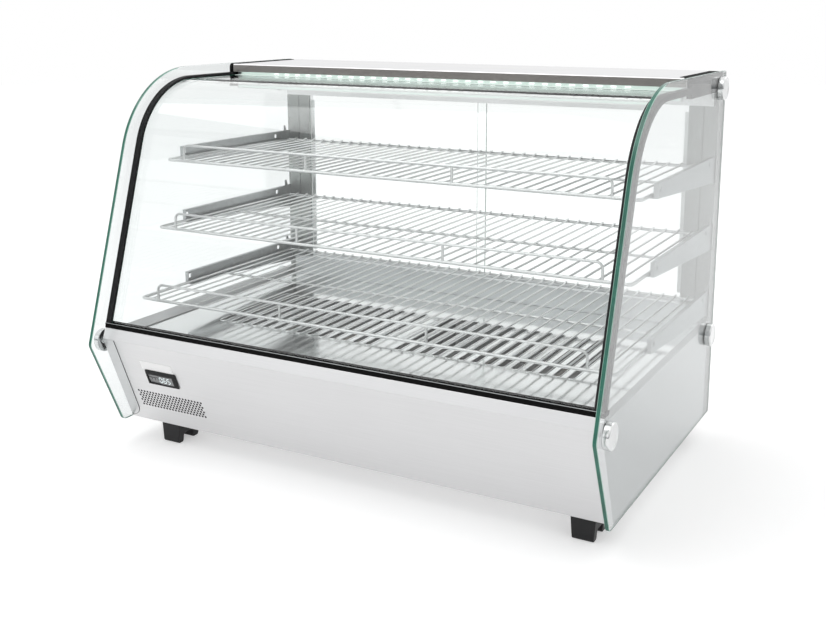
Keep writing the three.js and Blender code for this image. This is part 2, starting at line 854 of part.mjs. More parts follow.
function postGeometry(sign) {
  const inner = postInnerX;
  const channel = foldedSheet([
    [sign * (inner + postLip), postFrontY + postDepth],
    [sign * inner, postFrontY + postDepth],
    [sign * inner, postFrontY],
    [sign * bodyX, postFrontY],
    [sign * bodyX, postFrontY + postDepth],
    [sign * (bodyX - postLip), postFrontY + postDepth],
  ], sign * -sheet);
  const slotX = sign * (armPlateX - armSheet / 2);
  const slots = Array.from({ length: hookSlotCount }, (_, i) => {
    const z = firstHookZ + i * hookPitch;
    return shapeOf(rectangle(slotX - hookSlotWidth / 2, slotX + hookSlotWidth / 2,
      z - hookSlotHeight / 2, z + hookSlotHeight / 2));
  });
  const cutter = extrude(slots, sheet + 2 * cutOverrun)
    .rotateX(Math.PI / 2)
    .translate(0, postFrontY + sheet + cutOverrun, 0);
  return cut(acrossZ(channel, sideWallTopZ + seat, coverUnderZ - seat), cutter);
}

for (const [side, sign] of sides) {
  addPart(`rear_post_${side}`, postGeometry(sign), 'brushed');
}

// Door rails: each has a groove for the inner door and one for the outer door

const doorTracks = [innerDoorY, outerDoorY];

function railGeometry(bottomZ, topZ, grooveBottomZ, grooveTopZ, wideX) {
  const rear = rearPanelY - seat;
  const wide = block(-wideX, wideX, railFrontY, postFrontY - seat, bottomZ, topZ);
  const narrow = block(-railNarrowX, railNarrowX, postFrontY - sheet, rear, bottomZ, topZ);
  const grooves = doorTracks.map((y) => block(-overallWidth, overallWidth,
    y - doorPlay, y + doorThickness + doorPlay, grooveBottomZ, grooveTopZ));
  return cut(join(wide, narrow), ...grooves);
}

addPart('rear_bottom_rail',
  railGeometry(deckZ + seat, railTopZ, railTopZ - lowerGroove, railTopZ + cutOverrun, railWideX),
  'brushed');
addPart('rear_top_rail',
  railGeometry(topRailZ, coverUnderZ - seat, topRailZ - cutOverrun, topRailZ + upperGroove, coverX),
  'brushed');

// Sliding doors, each with a ribbed pull strip down its outer edge; the left one runs in the inner groove

const doorEdgeX = railNarrowX - seat;
const doorWidth = doorEdgeX + doorOverlap / 2;
const pullLowZ = railTopZ + pullMargin;
const pullHighZ = topRailZ - pullMargin;

function pullGeometry(x, y) {
  const plate = block(x - pullWidth / 2, x + pullWidth / 2, y, y + pullThickness - pullRib / 2,
    pullLowZ, pullHighZ);
  const ribPitch = pullWidth / pullRibs;
  const ribs = Array.from({ length: pullRibs }, (_, i) => {
    const ribX = x + (i - (pullRibs - 1) / 2) * ribPitch;
    return block(ribX - pullRib / 2, ribX + pullRib / 2, y + pullRib / 2, y + pullThickness,
      pullLowZ, pullHighZ);
  });
  return join(plate, ...ribs);
}

for (const [index, [side, sign]] of sides.entries()) {
  const y = doorTracks[index];
  addPart(`door_${side}`,
    block(sign * doorEdgeX, sign * (doorEdgeX - doorWidth), y, y + doorThickness, doorBottomZ, doorTopZ),
    'clearGlass');
  addPart(`door_pull_${side}`,
    pullGeometry(sign * (doorEdgeX - pullInset - pullWidth / 2), y + doorThickness + seat), 'aluminium');
}

// Shelf arms: channels that hook into the posts, deeper at the back than at the front

function armGeometry(sign, shelfZ) {
  const top = shelfZ + armTopAbove;
  const ledgeTop = shelfZ - frameWire / 2 - seat;
  const outside = sign * armPlateX;
  const hooks = [0, 1].map((i) => {
    const z = top - hookFirstDown - i * hookPitch;
    const behind = postFrontY + sheet + 2 * seat;
    return acrossX([
      [armEndY - armSheet, z + hookHeight / 2],
      [behind + hookReach, z + hookHeight / 2],
      [behind + hookReach, z - hookHeight / 2 - hookDrop],
      [behind, z - hookHeight / 2 - hookDrop],
      [behind, z - hookHeight / 2],
      [armEndY - armSheet, z - hookHeight / 2],
    ], outside, sign * (armPlateX - armSheet));
  });
  const holeZ = top - armHoleInset;
  const holes = [armFrontY + armHoleFront, armEndY - armHoleRear].map((y) => rectangle(
    y - armHole / 2, y + armHole / 2, holeZ - armHole / 2, holeZ + armHole / 2));
  const pinY = armEndY - armPinInset;
  const plate = acrossX([
    [armFrontY, top - armFrontHeight],
    [armEndY, top - armRearHeight],
    [armEndY, top],
    [armFrontY, top],
  ], outside, sign * (armPlateX - armSheet), holes);
  const pin = acrossX([
    [pinY - armPin / 2, top - armSheet],
    [pinY + armPin / 2, top - armSheet],
    [pinY + armPin / 2, top],
    [pinY, top + armPinHeight],
    [pinY - armPin / 2, top + armPinHeight],
  ], outside, sign * (armPlateX - armSheet));
  const topFlange = block(sign * (armPlateX - armFlange), outside,
    armFrontY, pinY - armPin, top - armSheet, top);
  const endFlange = block(sign * (armPlateX - armFlange), outside,
    armFrontY, armFrontY + armSheet, ledgeTop - armSheet, top);
  const ledge = block(sign * (armPlateX - armLedge), outside,
    armFrontY, shelfRearY, ledgeTop - armSheet, ledgeTop);
  return join(plate, pin, topFlange, endFlange, ledge, ...hooks);
}

const levelNames = ['top', 'middle', 'lower'];
for (const [level, { z }] of shelfLevels.entries()) {
  for (const [side, sign] of sides) {
    addPart(`shelf_arm_${levelNames[level]}_${side}`, armGeometry(sign, z), 'galvanised');
  }
}

// Wire shelves: a frame wire with round corners, cross wires welded between its front and rear, a
// middle wire that runs under them from side to side, and a raised fence along the front

function shelfGeometry({ frontY, z }) {
  const low = z - frameWire / 2;
  const high = z + frameWire / 2;
  const frameOutline = (inset) => roundedOutline([
    [-shelfHalfWidth + inset, frontY + inset, frameCorner - inset],
    [shelfHalfWidth - inset, frontY + inset, frameCorner - inset],
    [shelfHalfWidth - inset, shelfRearY - inset, frameCorner - inset],
    [-shelfHalfWidth + inset, shelfRearY - inset, frameCorner - inset],
  ]);
  const frame = acrossZ(frameOutline(0), low, high, [frameOutline(frameWire)]);
  const wireTop = high - wireDrop;
  const middleY = (frontY + shelfRearY) / 2;
  const middle = block(-shelfHalfWidth + frameWire - wireSink, shelfHalfWidth - frameWire + wireSink,
    middleY - frameWire / 2, middleY + frameWire / 2, low, wireTop - crossWire - seat);
  const pitch = 2 * (shelfHalfWidth - frameWire / 2) / (crossWireCount + 1);
  const wires = Array.from({ length: crossWireCount }, (_, i) => {
    const x = -shelfHalfWidth + frameWire / 2 + (i + 1) * pitch;
    return block(x - crossWire / 2, x + crossWire / 2, frontY + frameWire - wireSink,
      shelfRearY - frameWire + wireSink, wireTop - crossWire, wireTop);
  });
  const fenceY = frontY + frameWire / 2;
  const fenceX = shelfHalfWidth - fenceInset;
  const corners = [[-fenceX, z], [-fenceX, z + fenceHeight], [fenceX, z + fenceHeight], [fenceX, z]];
  const fence = rod(corners.map(([x, height]) => new THREE.Vector3(x, fenceY, height)),
    fenceWire, fenceBend, tubeSides + 1);
  const uprights = sides.map(([, sign]) => acrossZ(
    ring(sign * fenceUprightX, fenceY, fenceWire / 2, tubeSides + 1), z, z + fenceHeight));
  return join(frame, middle, ...wires, fence, ...uprights);
}

for (const [level, shelf] of shelfLevels.entries()) {
  addPart(`wire_shelf_${levelNames[level]}`, shelfGeometry(shelf), 'chrome');
}

// Thermostat: bevelled housing through the front panel, a screen and three keys beside it

const thermostat = new THREE.Group();
thermostat.position.set(thermostatX, thermostatUp, 0);
panelFrame.add(thermostat);

const faceHeightOut = bezelProud - faceRecess;
const keyXs = [0, 1, 2].map((i) => -faceWidth / 2 + keyPitch * (i + 1 / 2) + keyPlay);
const screenX = faceWidth / 2 - screenWidth / 2 - seat;

function housingGeometry() {
  const flat = rectangle(
    -bezelWidth / 2 + bezelChamfer, bezelWidth / 2 - bezelChamfer,
    -bezelHeight / 2 + bezelChamfer, bezelHeight / 2 - bezelChamfer);
  const puffed = new THREE.ExtrudeGeometry(shapeOf(flat), {
    depth: bezelProud - bezelChamfer, bevelEnabled: true,
    bevelThickness: bezelChamfer, bevelSize: bezelChamfer, bevelSegments: 1,
  });
  const wide = bezelWidth;
  const bezel = cut(puffed.translate(0, 0, seat), block(-wide, wide, -wide, wide, -wide, seat));
  const body = block(-housingWidth / 2, housingWidth / 2, -housingHeight / 2, housingHeight / 2,
    -housingDepth, bezelProud / 2);
  const recess = block(-faceWidth / 2, faceWidth / 2, -faceHeight / 2, faceHeight / 2,
    faceHeightOut, bezelProud + cutOverrun);
  const keyHole = keySize / 2 + keyPlay;
  const keyHoles = keyXs.map((x) => block(x - keyHole, x + keyHole, -keyHole, keyHole,
    faceHeightOut - keyStem - keyPlay, bezelProud));
  const screenWell = block(screenX - screenWidth / 2 - seat, screenX + screenWidth / 2 + seat,
    -faceHeight / 2, faceHeight / 2, faceHeightOut - screenThickness / 2, bezelProud);
  return cut(join(bezel, body), recess, screenWell, ...keyHoles);
}

addPart('thermostat_housing', housingGeometry(), 'blackPlastic', thermostat);
addPart('thermostat_screen', block(
  screenX - screenWidth / 2, screenX + screenWidth / 2, -faceHeight / 2 + seat, faceHeight / 2 - seat,
  faceHeightOut - screenThickness / 2 + seat, faceHeightOut + screenThickness / 2 + seat),
'greyPlastic', thermostat);
for (const [index, name] of ['key_set', 'key_down', 'key_up'].entries()) {
  const key = block(-keySize / 2, keySize / 2, -keySize / 2, keySize / 2, -keyStem + keyProud, keyProud);
  addPart(name, key, 'greyPlastic', thermostat).position.set(keyXs[index], 0, faceHeightOut);
}

// Rear switches: a flanged housing each, with a rocker on a pivot that runs along X

const rockerTilt = rockerTiltDegrees * radians;
const pivotOut = rockerTip * Math.cos(rockerTilt) + rockerHalf * Math.sin(rockerTilt);
const pivotY = overallDepth / 2 - pivotOut;

function switchHousingGeometry(x) {
  const outerY = rearY + seat + switchFlange;
  const flange = block(x - switchFlangeWidth / 2, x + switchFlangeWidth / 2, rearY + seat, outerY,
    switchZ - switchFlangeHeight / 2, switchZ + switchFlangeHeight / 2);
  const body = block(x - switchBodyWidth / 2, x + switchBodyWidth / 2, rearY - switchBodyDepth, outerY,
    switchZ - switchBodyHeight / 2, switchZ + switchBodyHeight / 2);
  const wellX = rockerWidth / 2 + rockerPlay;
  const wellZ = rockerHalf + rockerPlay * 3;
  const well = block(x - wellX, x + wellX, pivotY - rockerHalf, outerY + cutOverrun,
    switchZ - wellZ, switchZ + wellZ);
  return cut(join(flange, body), well);
}

function rockerGeometry() {
  const profile = [
    [rockerTip, -rockerHalf],
    [rockerWaist, 0],
    [rockerTip, rockerHalf],
    [0, rockerHalf],
    [-rockerRoot, rockerHalf / 2],
    [-rockerRoot, -rockerHalf / 2],
    [0, -rockerHalf],
  ];
  return acrossX(profile, -rockerWidth / 2, rockerWidth / 2);
}

for (const [name, x] of switchPlaces) {
  addPart(`${name}_switch_housing`, switchHousingGeometry(x), 'blackPlastic');
  const rocker = addPart(`${name}_switch_rocker`, rockerGeometry(), 'blackPlastic');
  rocker.position.set(x, pivotY, switchZ);
  rocker.rotation.x = -rockerTilt;
}

// Cable gland: a domed collar outside, a threaded neck through the panel, and a clear bore

function glandGeometry() {
  const outline = [
    [glandBore / 2, -glandLength],
    [glandThread / 2, -glandLength],
    [glandThread / 2, seat],
    [glandDiameter / 2, seat],
    [glandDiameter / 2, glandProud / 2],
    [glandDiameter / 2 - glandProud / 2, glandProud],
    [glandBore / 2, glandProud],
    [glandBore / 2, -glandLength],
  ].map(([radius, height]) => new THREE.Vector2(radius, height));
  return new THREE.LatheGeometry(outline, roundSides);
}

addPart('cable_gland', glandGeometry(), 'blackPlastic').position.set(glandX, rearY, glandZ);

// Heating elements: bent tubes that rise from the tray floor and pass under the deck slots

function heaterGeometry(x) {
  const foot = floorTopZ + seat;
  const reach = heaterPass + heaterPass / 2;
  const frontY = slotFrontY - heaterFrontReach;
  const turnY = slotRearY + heaterTurnReach;
  const legY = slotRearY + heaterLegReach;
  const corners = [
    [-reach, legY, foot],
    [-reach, legY, heaterZ],
    [-reach, frontY, heaterZ],
    [-reach + heaterPass, frontY, heaterZ],
    [-reach + heaterPass, turnY, heaterZ],
    [reach - heaterPass, turnY, heaterZ],
    [reach - heaterPass, frontY, heaterZ],
    [reach, frontY, heaterZ],
    [reach, legY, heaterZ],
    [reach, legY, foot],
  ].map(([across, y, z]) => new THREE.Vector3(x + across, y, z));
  return rod(corners, heaterTube, heaterBend, tubeSides);
}

for (const [side, sign] of sides) {
  addPart(`heating_element_${side}`, heaterGeometry(sign * heaterSpread), 'heaterSteel');
}

// Circulation fan: stand, motor with its shaft, and an impeller

const standTopZ = floorTopZ + seat + fanStandHeight;
const motorTopZ = standTopZ + seat + motorHeight;

function fanStandGeometry() {
  const foot = floorTopZ + seat;
  const line = [
    [-fanStandWidth / 2 - fanStandFoot, foot + armSheet],
    [-fanStandWidth / 2, foot + armSheet],
    [-fanStandWidth / 2, standTopZ],
    [fanStandWidth / 2, standTopZ],
    [fanStandWidth / 2, foot + armSheet],
    [fanStandWidth / 2 + fanStandFoot, foot + armSheet],
  ];
  return acrossY(
    foldedSheet(line, armSheet), slotMiddleY - fanStandDepth / 2, slotMiddleY + fanStandDepth / 2);
}

addPart('fan_stand', fanStandGeometry(), 'galvanised');

function motorGeometry() {
  const body = acrossZ(ring(0, slotMiddleY, motorDiameter / 2, roundSides), standTopZ + seat, motorTopZ);
  const shaft = acrossZ(
    ring(0, slotMiddleY, shaftDiameter / 2, roundSides), motorTopZ - sheet, motorTopZ + shaftLength);
  return join(body, shaft);
}

addPart('fan_motor', motorGeometry(), 'motorSteel');

function impellerGeometry() {
  const hub = acrossZ(ring(0, 0, hubDiameter / 2, roundSides), 0, hubHeight);
  const bore = acrossZ(ring(0, 0, shaftDiameter / 2 + seat, roundSides), -cutOverrun, hubHeight + cutOverrun);
  const blades = Array.from({ length: bladeCount }, (_, i) => (
    block(shaftDiameter, bladeReach, -bladeThickness / 2, bladeThickness / 2, -bladeHeight / 2, bladeHeight / 2)
      .rotateX(bladePitchDegrees * radians)
      .translate(0, 0, hubHeight / 2)
      .rotateZ(2 * Math.PI * i / bladeCount)));
  return cut(join(hub, ...blades), bore);
}

addPart('fan_impeller', impellerGeometry(), 'blackPlastic')
  .position.set(0, slotMiddleY, motorTopZ + hubLift);

// Temperature probe in its clip under the deck, and the lamp's driver box on the tray floor

const probeTopZ = deckUnderZ - seat;
const probeY = slotRearY + probeReach;
addPart('temperature_probe', join(
  acrossX(ring(probeY, probeTopZ - probeClip / 2, probeDiameter / 2, roundSides),
    -probeLength / 2, probeLength / 2),
  block(-probeClip, probeClip, probeY - probeClip / 2, probeY + probeClip / 2,
    probeTopZ - probeClip, probeTopZ)), 'motorSteel');

const driverLowZ = floorTopZ + seat;
const driverRearY = rearPanelY - driverRearGap;
addPart('lamp_driver', block(-driverWidth / 2, driverWidth / 2,
  driverRearY - driverDepth, driverRearY, driverLowZ, driverLowZ + driverHeight), 'blackPlastic');

export default displayCase;
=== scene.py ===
# %% [markdown]
# # A heated display case, dressed in Blender
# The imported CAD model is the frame: every node stays where it is, and moves with its own body. This
# lesson builds the pieces that the eye reads first (panes, rubber strips, wire racks, bright caps,
# lamps, vents and digits) over that frame, and gives every surface a finish made of nodes.

# %% Load the frame
import json
import math

import bpy
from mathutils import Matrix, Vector


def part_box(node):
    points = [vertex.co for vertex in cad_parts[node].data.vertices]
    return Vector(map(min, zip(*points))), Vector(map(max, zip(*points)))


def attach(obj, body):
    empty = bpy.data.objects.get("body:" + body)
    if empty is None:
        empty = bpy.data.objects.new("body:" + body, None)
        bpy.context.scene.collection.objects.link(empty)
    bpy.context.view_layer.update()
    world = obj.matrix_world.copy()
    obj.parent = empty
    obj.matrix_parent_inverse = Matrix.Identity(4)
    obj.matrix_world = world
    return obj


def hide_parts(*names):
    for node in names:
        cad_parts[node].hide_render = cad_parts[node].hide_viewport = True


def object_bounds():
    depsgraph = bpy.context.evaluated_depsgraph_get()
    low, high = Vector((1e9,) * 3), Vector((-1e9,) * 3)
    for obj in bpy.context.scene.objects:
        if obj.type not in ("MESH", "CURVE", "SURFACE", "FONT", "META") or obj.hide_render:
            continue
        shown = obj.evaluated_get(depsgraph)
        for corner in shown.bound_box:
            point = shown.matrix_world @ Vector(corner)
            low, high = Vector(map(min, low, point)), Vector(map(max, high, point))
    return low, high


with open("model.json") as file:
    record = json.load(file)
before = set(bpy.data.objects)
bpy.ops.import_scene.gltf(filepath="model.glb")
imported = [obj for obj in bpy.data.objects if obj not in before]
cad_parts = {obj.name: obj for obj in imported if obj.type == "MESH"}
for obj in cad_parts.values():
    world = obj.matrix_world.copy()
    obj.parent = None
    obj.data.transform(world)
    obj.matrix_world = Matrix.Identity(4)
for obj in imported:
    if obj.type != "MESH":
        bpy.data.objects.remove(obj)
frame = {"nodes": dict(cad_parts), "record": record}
cad_low, cad_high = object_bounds()
nodes = frame["nodes"]
print("CAD nodes:", len(nodes), "box:", [round(v, 4) for v in (*cad_low, *cad_high)])

# %% [markdown]
# ## Working lengths
# Blender works in metres, and the drawings of such a case are in millimetres, so lengths are written
# in millimetres times MM. What can be read from the frame is read from it, so that a new piece
# always fits the CAD node that it covers. An operator acts on all that is selected, so everything
# is deselected before each new piece.

# %% Units and shared values
MM = 0.001
SEAT = 0.3 * MM
SHEET = 1.2 * MM
SIDES = (("left", -1), ("right", 1))
LEVELS = ("top", "middle", "lower")


def low(node):
    return Vector(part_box(node)[0])


def high(node):
    return Vector(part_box(node)[1])


def span(node):
    return low(node), high(node)


def nothing_selected():
    if bpy.context.object and bpy.context.object.mode != "OBJECT":
        bpy.ops.object.mode_set(mode="OBJECT")
    bpy.ops.object.select_all(action="DESELECT")


print("deck is at", round(high("deck_plate").z, 4))

# %% [markdown]
# ## Camera
# The case was photographed from its right and a little above, with a lens of about 50 mm. The
# camera is a plain object with its place and turn written out. A small shift keeps the case in the
# middle of the picture while the lens tilts less, so the uprights stay nearly upright.

# %% Camera
CAMERA_PLACE = (0.8330, -1.5031, 0.7050)
CAMERA_TURN_DEGREES = 28.773
CAMERA_TILT_DEGREES = -11.314
CAMERA_LENS = 48.326
CAMERA_SHIFT = -0.1

nothing_selected()
bpy.ops.object.camera_add(location=CAMERA_PLACE)
camera = bpy.context.object
camera.name = "photo_camera"
camera.rotation_euler = (math.radians(90 + CAMERA_TILT_DEGREES), 0, math.radians(CAMERA_TURN_DEGREES))
camera.data.lens = CAMERA_LENS
camera.data.sensor_width = 36
camera.data.shift_y = CAMERA_SHIFT
camera.data.clip_start = 0.05
bpy.context.scene.camera = camera
print("camera looks from", CAMERA_PLACE)

# %% [markdown]
# ## A helper for nodes
# Floor, sky and finishes are all node trees. One helper adds a node, sets its properties, and gives
# each input either a fixed value or a link, so a tree reads from top to bottom like a recipe.

# %% Node helper
def empty_tree(owner):
    owner.use_nodes = True
    owner.node_tree.nodes.clear()
    return owner.node_tree


def add_node(tree, kind, inputs, **settings):
    node = tree.nodes.new(kind if kind.startswith("NodeGroup") else "ShaderNode" + kind)
    for title, value in settings.items():
        setattr(node, title, value)
    for socket, value in inputs.items():
        if isinstance(value, bpy.types.NodeSocket):
            tree.links.new(value, node.inputs[socket])
        else:
            node.inputs[socket].default_value = value
    return node


print("node helper is ready")

# %% [markdown]
# ## Floor, sky and lamps
# Bright metal and glass show what stands round them. A white sky and a white floor give the clean
# studio look. For light that bounces off metal the sky is darker low down in front and brighter
# behind and overhead, so that round and folded metal still shows its shape. The floor's white is
# part colour and part glow, and the glow is what the camera sees, so the case keeps its soft shadow
# without more light on it. A wide soft lamp in front brightens the narrow lip above the panel.

# %% Floor
FLOOR_RADIUS = 9
FLOOR_COLOUR = (0.74, 0.74, 0.74, 1)
FLOOR_GLOW = 0.4


def seen_directly(tree):
    """Two values: 1 where it is seen straight or through glass, and 1 where metal shows it too."""
    path = add_node(tree, "LightPath", {}).outputs
    straight = add_node(tree, "Math", {0: path["Is Camera Ray"], 1: path["Is Transmission Ray"]},
                        operation="MAXIMUM").outputs[0]
    shown = add_node(tree, "Math", {0: straight, 1: path["Is Glossy Ray"]}, operation="MAXIMUM")
    return straight, shown.outputs[0]


def make_floor():
    nothing_selected()
    bpy.ops.mesh.primitive_circle_add(vertices=64, radius=FLOOR_RADIUS, fill_type="NGON")
    floor = bpy.context.object
    floor.name = "studio_floor"
    material = bpy.data.materials.new("studio_floor_white")
    tree = empty_tree(material)
    matt = add_node(tree, "BsdfDiffuse", {"Color": FLOOR_COLOUR})
    scaled = add_node(tree, "Math", {0: seen_directly(tree)[1], 1: FLOOR_GLOW}, operation="MULTIPLY")
    glow = add_node(tree, "Emission", {"Strength": scaled.outputs[0]})
    both = add_node(tree, "AddShader", {0: matt.outputs[0], 1: glow.outputs[0]})
    add_node(tree, "OutputMaterial", {"Surface": both.outputs[0]})
    floor.data.materials.append(material)


make_floor()
print("floor radius:", FLOOR_RADIUS)

# %% Sky
WHITE = (1, 1, 1, 1)
SKY_STRENGTH = 0.8
SKY_LIFT = (0, 0.5, 1.2)
SKY_START = 0.35
DARK_TONE = (0.42, 0.43, 0.44, 1)
BRIGHT_TONE = (1.12, 1.12, 1.12, 1)


def make_sky():
    world = bpy.data.worlds.new("studio_sky")
    bpy.context.scene.world = world
    tree = empty_tree(world)
    straight, shown = seen_directly(tree)
    place = add_node(tree, "TexCoord", {}).outputs["Generated"]
    lean = add_node(tree, "VectorMath", {0: place, 1: SKY_LIFT}, operation="DOT_PRODUCT")
    shade = add_node(tree, "Math", {0: lean.outputs["Value"], 1: SKY_START}, use_clamp=True)
    tones = add_node(tree, "Mix", {"Factor": shade.outputs[0], "A": DARK_TONE, "B": BRIGHT_TONE},
                     data_type="RGBA")
    whitened = add_node(tree, "Mix", {"Factor": straight, "A": tones.outputs["Result"], "B": WHITE},
                        data_type="RGBA")
    strength = add_node(tree, "Math", {0: shown, 1: 1 - SKY_STRENGTH, 2: SKY_STRENGTH},
                        operation="MULTIPLY_ADD")
    sky = add_node(tree, "Background", {"Color": whitened.outputs["Result"], "Strength": strength.outputs[0]})
    add_node(tree, "OutputWorld", {"Surface": sky.outputs[0]})


make_sky()
print("sky:", bpy.context.scene.world.name)

# %% Lamps
LAMP_AIM = (0, 0, 0.3)


def add_lamp(name, place, size, watts, height=None):
    nothing_selected()
    bpy.ops.object.light_add(type="AREA", location=place)
    lamp = bpy.context.object
    lamp.name = name
    lamp.data.shape = "RECTANGLE"
    lamp.data.size = size
    lamp.data.size_y = height or size
    lamp.data.energy = watts
    lamp.rotation_euler = (Vector(LAMP_AIM) - Vector(place)).to_track_quat("-Z", "Y").to_euler()


add_lamp("key_lamp", (-1.1, -0.7, 3.0), 2.2, 25)
add_lamp("rear_lamp", (1.2, 2.4, 2.4), 2.0, 13)
add_lamp("front_lamp", (-1.25, -2.5, 1.2), 3.2, 7, 1.2)
bpy.context.scene.view_settings.view_transform = "Standard"

# %% [markdown]
# ## Effects that several finishes share
# Sheet steel shows fine lines from its brushing belt, zinc shows flat crystals, moulded plastic has a
# pebbled grain, and all of them carry the faint cloudy marks of hands and cloths. Each effect is a
# node group with named inputs and outputs, so each material can use it with its own values. A group
# only puts out values that change over the surface; the shader stays in the material.

# %% Group helpers
def new_group(name, scale):
    """An empty group: a place and a scale go in, and a tone and a height come out."""
    group = bpy.data.node_groups.new(name, "ShaderNodeTree")
    add = group.interface.new_socket
    add(name="Coordinates", in_out="INPUT", socket_type="NodeSocketVector")
    add(name="Scale", in_out="INPUT", socket_type="NodeSocketFloat").default_value = scale
    for title in ("Tone", "Height"):
        add(name=title, in_out="OUTPUT", socket_type="NodeSocketFloat")
    entry = add_node(group, "NodeGroupInput", {}).outputs
    return group, entry["Coordinates"], entry["Scale"]


def close_group(group, tone, height):
    add_node(group, "NodeGroupOutput", {"Tone": tone, "Height": height})
    return group


def ranged(tree, value, from_low, from_high, to_low, to_high):
    return add_node(tree, "MapRange", {"Value": value, "From Min": from_low, "From Max": from_high,
                                       "To Min": to_low, "To Max": to_high}).outputs["Result"]


print("group helpers are ready")

# %% Surface effects
def make_brushed_lines():
    group, place, scale = new_group("brushed_lines", 900)
    stretch = add_node(group, "VectorMath", {0: place, 1: (0.012, 1, 1)}, operation="MULTIPLY")
    noise = add_node(group, "TexNoise", {"Vector": stretch.outputs[0], "Scale": scale, "Detail": 3})
    lines = noise.outputs["Fac"]
    return close_group(group, ranged(group, lines, 0.3, 0.7, 0, 1), lines)


def make_handled_marks():
    group, place, scale = new_group("handled_marks", 9)
    cloud = add_node(group, "TexNoise", {"Vector": place, "Scale": scale, "Detail": 5, "Roughness": 0.6,
                                         "Distortion": 0.4}).outputs["Fac"]
    return close_group(group, ranged(group, cloud, 0.42, 0.7, 0, 1), cloud)


def make_zinc_crystals():
    group, place, scale = new_group("zinc_crystals", 160)
    bend = add_node(group, "TexNoise", {"Vector": place, "Scale": 90, "Detail": 2})
    mixed = add_node(group, "VectorMath", {0: bend.outputs["Color"], 1: (0.006, 0.006, 0.006), 2: place},
                     operation="MULTIPLY_ADD")
    cells = add_node(group, "TexVoronoi", {"Vector": mixed.outputs[0], "Scale": scale})
    split = add_node(group, "SeparateColor", {0: cells.outputs["Color"]})
    return close_group(group, split.outputs[0], cells.outputs["Distance"])


def make_moulded_grain():
    group, place, scale = new_group("moulded_grain", 1400)
    pebbles = add_node(group, "TexVoronoi", {"Vector": place, "Scale": scale}, feature="SMOOTH_F1")
    cloud = add_node(group, "TexNoise", {"Vector": place, "Scale": 60})
    return close_group(group, cloud.outputs["Fac"], pebbles.outputs["Distance"])


effects = {
    "brushed": make_brushed_lines(),
    "marks": make_handled_marks(),
    "zinc": make_zinc_crystals(),
    "grain": make_moulded_grain(),
}
print("node groups:", sorted(group.name for group in effects.values()))

# %% [markdown]
# ## Finishes
# Each finish is a Principled shader with its fixed numbers on its own sockets. A surface pattern
# moves the base colour between a darker and a lighter tone, the roughness between two values, and
# the normal through a Bump node. The patterns read Object coordinates, and every object sits at the
# origin, so lines and crystals keep their real size on each piece.

# %% Material helper
BUMP_DEPTH = 0.1 * MM


def tone(colour, factor):
    return tuple(min(1.0, channel * factor) for channel in colour[:3]) + (1.0,)


def new_finish(name, colour, metallic, roughness, pattern=None, pattern_scale=1.0, contrast=0.06,
               rough_spread=0.05, bump=0.0, marks=0.06, marks_scale=9.0, **fixed):
    material = bpy.data.materials.new(name)
    tree = empty_tree(material)
    place = add_node(tree, "TexCoord", {}).outputs["Object"]
    smudge = add_node(tree, "Group", {"Coordinates": place, "Scale": marks_scale}, node_tree=effects["marks"])
    source = smudge.outputs["Tone"]
    rough = ranged(tree, source, 0, 1, roughness, roughness + marks)
    sockets = {"Metallic": metallic}
    sockets.update((title.replace("_", " "), value) for title, value in fixed.items())
    if pattern:
        surface = add_node(tree, "Group", {"Coordinates": place, "Scale": pattern_scale},
                           node_tree=effects[pattern])
        source = surface.outputs["Tone"]
        rough = add_node(tree, "Math", {0: source, 1: rough_spread, 2: rough},
                         operation="MULTIPLY_ADD").outputs[0]
        if bump:
            sockets["Normal"] = add_node(tree, "Bump", {"Strength": bump, "Distance": BUMP_DEPTH,
                                                        "Height": surface.outputs["Height"]}).outputs["Normal"]
    sockets["Roughness"] = rough
    sockets["Base Color"] = add_node(tree, "Mix", {
        "Factor": source, "A": tone(colour, 1 - contrast / 2), "B": tone(colour, 1 + contrast / 2)},
        data_type="RGBA").outputs["Result"]
    shader = add_node(tree, "BsdfPrincipled", sockets)
    add_node(tree, "OutputMaterial", {"Surface": shader.outputs[0]})
    return material


def new_glass(name, colour, index=1.46):
    """Clear sheet glass: plain transmission, with the faint marks of wiping in its roughness."""
    return new_finish(name, colour, 0.0, 0.0, None, contrast=0.01, marks=0.02, marks_scale=5.0,
                      IOR=index, Transmission_Weight=1.0)


print("a finish has", len(effects), "effects to draw on")

